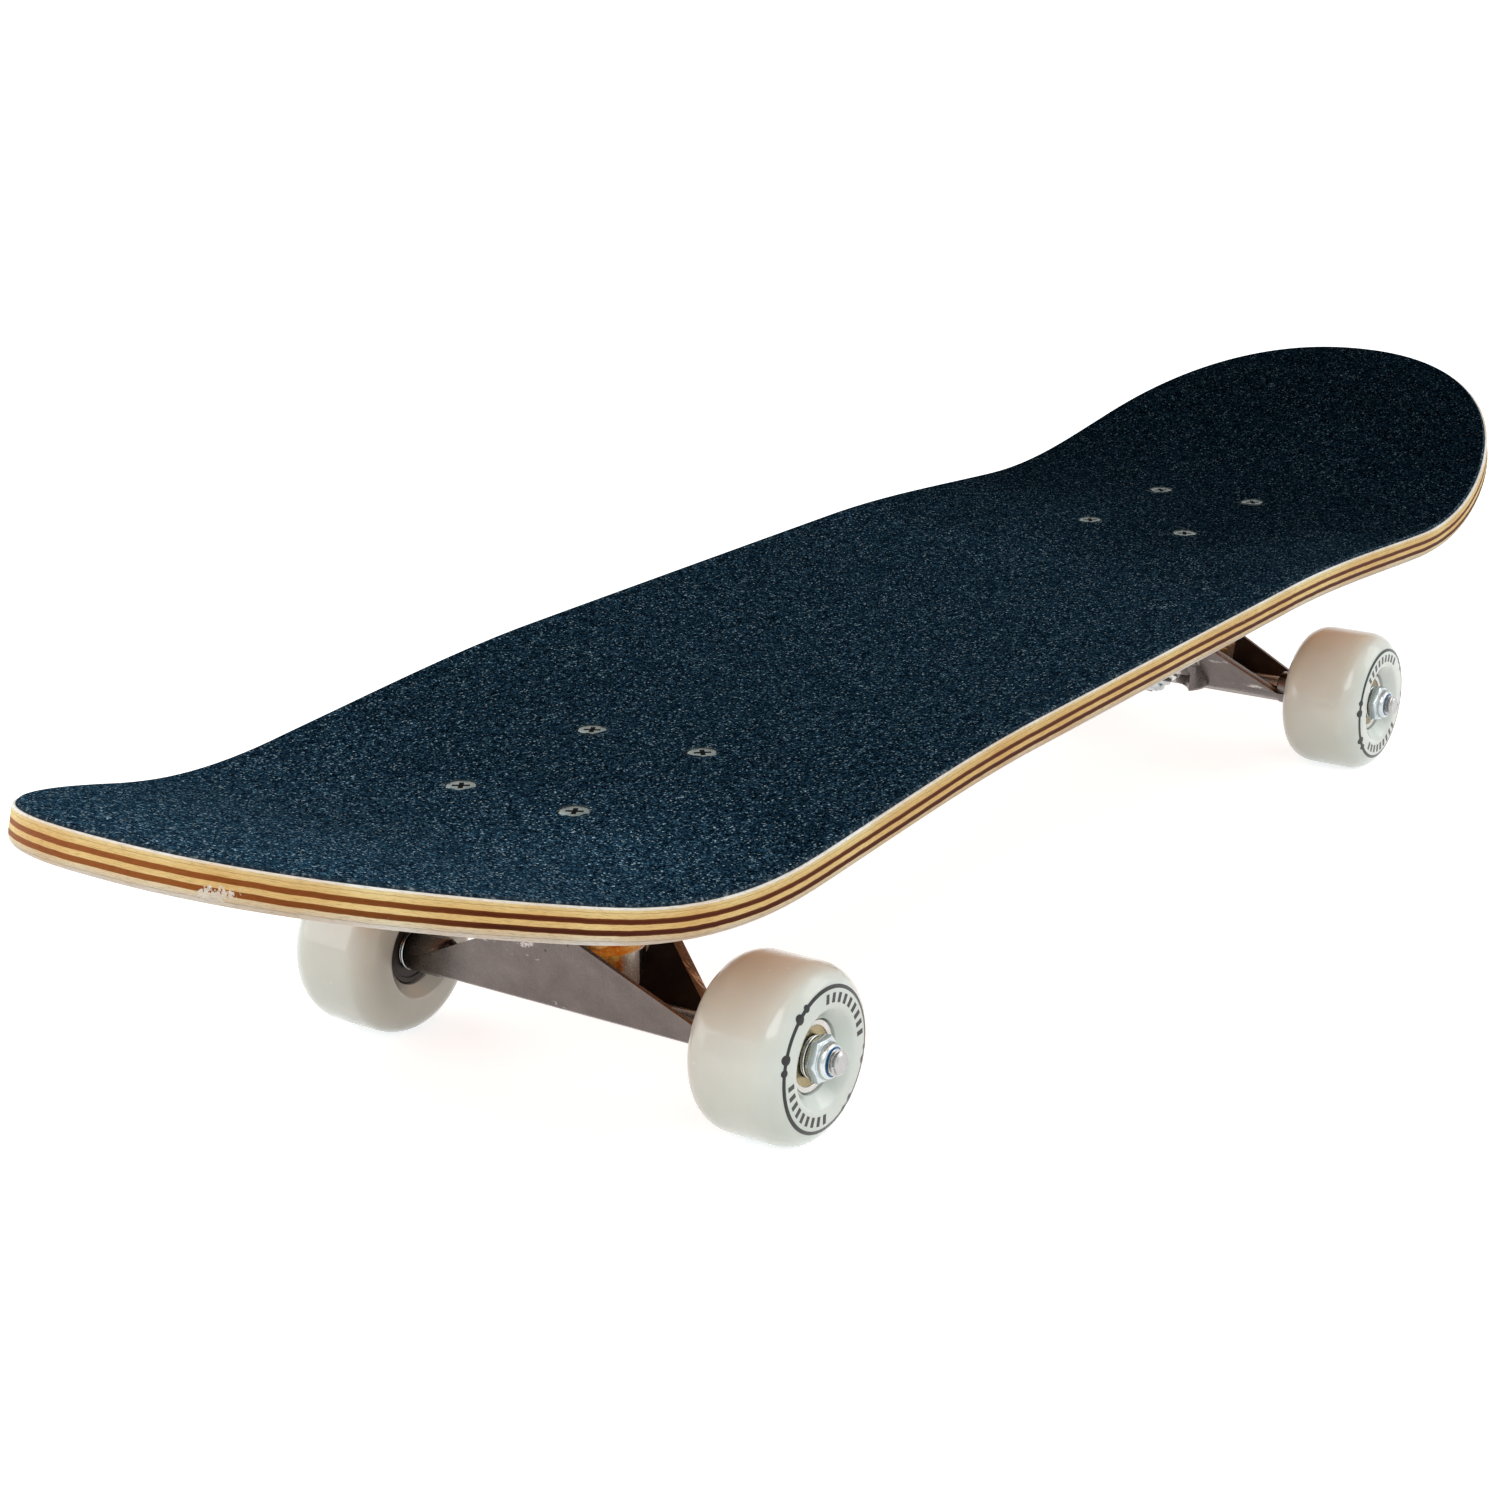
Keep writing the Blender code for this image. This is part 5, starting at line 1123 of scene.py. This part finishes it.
def face_height(radius):
    """How far out the wheel's face is at a radius, from its middle plane."""
    start = WHEEL_RADIUS - LIP_INWARD
    if radius <= start:
        return HALF
    share = min((radius - start) / LIP_INWARD, 1.0)
    return HALF - LIP_ALONG * (1 - math.sqrt(1 - share * share))


side = [(8.6 * mm, 4.7 * mm), (11.25 * mm, 4.7 * mm), (11.25 * mm, 12.6 * mm),
        (11.7 * mm, 13.1 * mm), (14.6 * mm, 15.9 * mm), (15.1 * mm, 16.25 * mm),
        (15.8 * mm, 16.48 * mm), (16.6 * mm, HALF)]
side += [(WHEEL_RADIUS - LIP_INWARD * (1 - math.sin(a)), HALF - LIP_ALONG * (1 - math.cos(a)))
         for a in (math.pi / 2 * i / LIP_STEPS for i in range(LIP_STEPS + 1))]
wheel = lathe(side + [(r, -z) for r, z in reversed(side)], 128, closed=True)

# %% Bearings, spacer and speed washer
SHIELD_RADIUS = 8.9 * mm
bearing_side = [(6.4 * mm, 2.9 * mm), (9.0 * mm, 2.9 * mm), (9.1 * mm, 3.25 * mm),
                (9.5 * mm, 3.5 * mm), (10.6 * mm, 3.5 * mm), (11.0 * mm, 3.1 * mm)]
bearing = lathe(bearing_side + [(r, -z) for r, z in reversed(bearing_side)], 72, closed=True)
for face in bearing.faces:
    centre = face.calc_center_median()
    face.material_index = 1 if math.hypot(centre.x, centre.y) < SHIELD_RADIUS else 0
inner_side = [(4.2 * mm, 3.2 * mm), (4.5 * mm, 3.5 * mm), (5.8 * mm, 3.5 * mm),
              (6.1 * mm, 3.2 * mm)]
inner_ring = lathe(inner_side + [(r, -z) for r, z in reversed(inner_side)], 64, closed=True)
spacer = lathe([(4.25 * mm, 4.95 * mm), (5.3 * mm, 4.95 * mm), (5.3 * mm, -4.95 * mm),
                (4.25 * mm, -4.95 * mm)], 48, closed=True)
washer_side = [(4.2 * mm, 0.45 * mm), (6.3 * mm, 0.45 * mm), (6.5 * mm, 0.25 * mm)]
speed_washer = lathe(washer_side + [(r, -z) for r, z in reversed(washer_side)], 48,
                     closed=True)
axle_nut, axle_nylon = lock_nut(12.7 * mm, 5.8 * mm, 3.97 * mm)

# %% [markdown]
# The print on a wheel is a ring, pairs of dots on it and plain bars inside it. Each mark is
# drawn flat, laid on the curve of the face and given a thin body of ink.

# %% Printed marks
RING_RADIUS = 21.4 * mm
RING_HALF = 0.55 * mm      # of the printed line's width
DOTS = ((19.7, 1.55), (9.4, 1.15), (52.2, 1.55), (63.0, 1.15))  # degrees, radius in mm
BAR_RADIUS = 18.2 * mm
BAR_SIZE = (2.9 * mm, 1.5 * mm)
BAR_COUNT, BAR_START, BAR_STEP = 9, -6.0, 10.2                  # angles in degrees
INK_LIFT = 0.06 * mm


def on_face(bm):
    """A flat mark, drawn at height 0, wrapped on the wheel's outer face and given a body."""
    for v in bm.verts:
        v.co.z = face_height(math.hypot(v.co.x, v.co.y)) + INK_LIFT
    moved = bmesh.ops.extrude_face_region(bm, geom=list(bm.faces))["geom"]
    bmesh.ops.translate(bm, vec=(0, 0, -2 * INK_LIFT), verts=points_of(moved))
    bmesh.ops.recalc_face_normals(bm, faces=bm.faces)
    return bm


def printed_marks():
    """The ring, the pairs of dots on it and two rows of plain bars inside it."""
    near, far = RING_RADIUS - RING_HALF, RING_RADIUS + RING_HALF
    marks = [lathe([(radius, face_height(radius) + lift) for radius, lift in (
        (near, -INK_LIFT), (near, INK_LIFT), (RING_RADIUS, INK_LIFT), (far, INK_LIFT),
        (far, -INK_LIFT))], 128, closed=True)]
    for half in (0, 180):
        for angle, radius in DOTS:
            dot = bmesh.new()
            turn = Matrix.Rotation(-math.radians(angle + half), 4, "Z")
            bmesh.ops.create_circle(dot, cap_ends=True, cap_tris=True, segments=24,
                                    radius=radius * mm,
                                    matrix=turn @ Matrix.Translation((RING_RADIUS, 0, 0)))
            marks.append(on_face(dot))
        for i in range(BAR_COUNT):
            bar = bmesh.new()
            turn = Matrix.Rotation(-math.radians(BAR_START - BAR_STEP * i + half), 4, "Z")
            bmesh.ops.create_grid(bar, x_segments=3, y_segments=2, size=0.5,
                                  matrix=turn @ Matrix.Translation((BAR_RADIUS, 0, 0))
                                  @ Matrix.Diagonal((*BAR_SIZE, 1, 1)))
            marks.append(on_face(bar))
    return gathered(marks)


marks = printed_marks()
print("marks:", len(marks.faces), "faces")

# %% Put the wheels on the axles
BEARING_STEP = 8.5 * mm     # from the wheel's middle to a bearing's middle
WASHER_STEP = 12.5 * mm
NUT_STEP = 13.3 * mm
# How far each wheel has rolled, in degrees.
WHEEL_TURNS = {"front_left": 0.0, "front_right": 140.0, "rear_left": 49.0, "rear_right": 75.0}
for corner, degrees in WHEEL_TURNS.items():
    truck_name, side_name = corner.split("_")
    truck = TRUCKS[truck_name]
    outward = (1 if side_name == "left" else -1) * (1 if truck_name == "front" else -1)
    hub = (truck @ Matrix.Rotation(-outward * math.pi / 2, 4, "X")
           @ Matrix.Translation((0, 0, WHEEL_OFFSET)))
    roll = Matrix.Rotation(math.radians(degrees), 4, "Z")
    rolled = hub @ roll
    rider = f"wheel_{corner}"
    finish_piece(f"wheel_casting_{corner}", copy_of(wheel, rolled), [URETHANE], rider,
                 [f"wheel_{corner}"])
    finish_piece(f"wheel_print_{corner}", copy_of(marks, rolled), [INK], rider)
    # The inner bearings carry the dark brown painted shade on race and seal.
    for label, step, skins in (("outer", BEARING_STEP, [RACE, SHIELD]),
                               ("inner", -BEARING_STEP, [INNER_BEARING_SHADE, INNER_BEARING_SHADE])):
        moved = Matrix.Translation((0, 0, step))
        finish_piece(f"bearing_{label}_ring_{corner}", copy_of(bearing, rolled, moved),
                     skins, rider, [f"bearing_{label}_{corner}"])
        finish_piece(f"bearing_{label}_bore_{corner}", copy_of(inner_ring, hub, moved), [RACE],
                     f"hanger_{truck_name}",
                     [f"inner_races_{corner}"] if label == "outer" else ())
        finish_piece(f"speed_washer_{label}_{corner}",
                     copy_of(speed_washer, hub, Matrix.Translation(
                         (0, 0, math.copysign(WASHER_STEP, step)))), [ZINC],
                     f"hanger_{truck_name}")
    finish_piece(f"spacer_{corner}", copy_of(spacer, hub), [ZINC], f"hanger_{truck_name}")
    seat = hub @ Matrix.Translation((0, 0, NUT_STEP)) @ roll
    finish_piece(f"axle_lock_nut_{corner}", copy_of(axle_nut, seat), [ZINC],
                 f"hanger_{truck_name}", [f"axle_nut_{corner}"])
    finish_piece(f"axle_nylon_{corner}", copy_of(axle_nylon, seat), [BLUE_NYLON],
                 f"hanger_{truck_name}")
print("wheels:", len(WHEEL_TURNS))

# %% [markdown]
# ## Stage, light and camera
# The board stands on a plain pale floor under soft studio light. The floor looks white to the
# camera, still takes the board's shadow, and lets a view from below through. What the floor
# adds for the camera, mirrors and glass gives no light to the board.

# %% Floor
FLOOR_HALF = 6.0
FLOOR_GLOW = 0.74
floor_bm = bmesh.new()
bmesh.ops.create_grid(floor_bm, x_segments=1, y_segments=1, size=FLOOR_HALF)
floor = to_object(floor_bm, "floor")


def seen_directly(tree):
    """1 for the rays of the camera, of mirrors and of glass, 0 for the rest."""
    path = add_node(tree, "LightPath")
    straight = add_node(tree, "Math", {0: path.outputs["Is Camera Ray"],
                                       1: path.outputs["Is Glossy Ray"]})
    return add_node(tree, "Math", {0: straight.outputs[0],
                                   1: path.outputs["Is Transmission Ray"]},
                    use_clamp=True).outputs[0]


FLOOR, tree, shader, coords = new_material("pale_floor", 0.9, Specular_IOR_Level=0.0)
shader.inputs["Base Color"].default_value = paint("#e4e4e2")
glow = add_node(tree, "Emission", {"Color": (0.965, 0.985, 1.0, 1.0),
                                   "Strength": FLOOR_GLOW})
lit = add_node(tree, "AddShader", {0: shader.outputs[0], 1: glow.outputs[0]})
seen = add_node(tree, "MixShader", {0: seen_directly(tree), 1: shader.outputs[0],
                                    2: lit.outputs[0]})
side_seen = add_node(tree, "NewGeometry")
through = add_node(tree, "BsdfTransparent")
one_way = add_node(tree, "MixShader", {0: side_seen.outputs["Backfacing"], 1: seen.outputs[0],
                                       2: through.outputs[0]})
tree.links.new(one_way.outputs[0], tree.nodes["Material Output"].inputs["Surface"])
floor.data.materials.append(FLOOR)

# %% World: half a strength of white as light, and full white where it is seen
WORLD_LIGHT = 0.5
world = bpy.data.worlds.new("studio")
world.use_nodes = True
tree = world.node_tree
seen_white = add_node(tree, "Math", {0: seen_directly(tree), 1: 1 - WORLD_LIGHT,
                                     2: WORLD_LIGHT}, operation="MULTIPLY_ADD")
tree.nodes["Background"].inputs["Color"].default_value = (1.0, 1.0, 1.0, 1.0)
tree.links.new(seen_white.outputs[0], tree.nodes["Background"].inputs["Strength"])
bpy.context.scene.world = world


# %% Lamps
def soft_light(name, place, target, size, power):
    """A large square white lamp that looks at a point."""
    lamp = bpy.data.lights.new(name, "AREA")
    lamp.shape = "SQUARE"
    lamp.size = size
    lamp.energy = power
    holder = bpy.data.objects.new(name, lamp)
    holder.location = place
    holder.rotation_euler = (Vector(target) - Vector(place)).to_track_quat("-Z", "Y").to_euler()
    bpy.context.scene.collection.objects.link(holder)


soft_light("key_light", (1.5, 0.9, 1.8), (0.2, 0.0, 0.05), 1.4, 17.0)
soft_light("low_light", (1.1, -1.2, 0.6), (0.2, 0.0, 0.03), 1.1, 6.0)
soft_light("fill_light", (-1.4, 1.6, 1.2), (0.0, 0.0, 0.05), 1.6, 12.0)
soft_light("back_light", (-0.6, -1.8, 1.5), (0.0, 0.0, 0.05), 1.4, 12.0)

# %% [markdown]
# The camera stands low, close to the near end of the board, so the nose is large and the tail
# runs away to the right.

# %% Camera
camera = bpy.data.cameras.new("camera")
camera.sensor_width = 36.0
camera.lens = 68.95
camera.clip_start = 0.01
viewer = bpy.data.objects.new("camera", camera)
viewer.location = (0.83802, 0.48905, 0.36236)
viewer.rotation_euler = [math.radians(a) for a in (71.989, 0.169, 123.804)]
bpy.context.scene.collection.objects.link(viewer)
bpy.context.scene.camera = viewer
bpy.context.scene.view_settings.view_transform = "Standard"
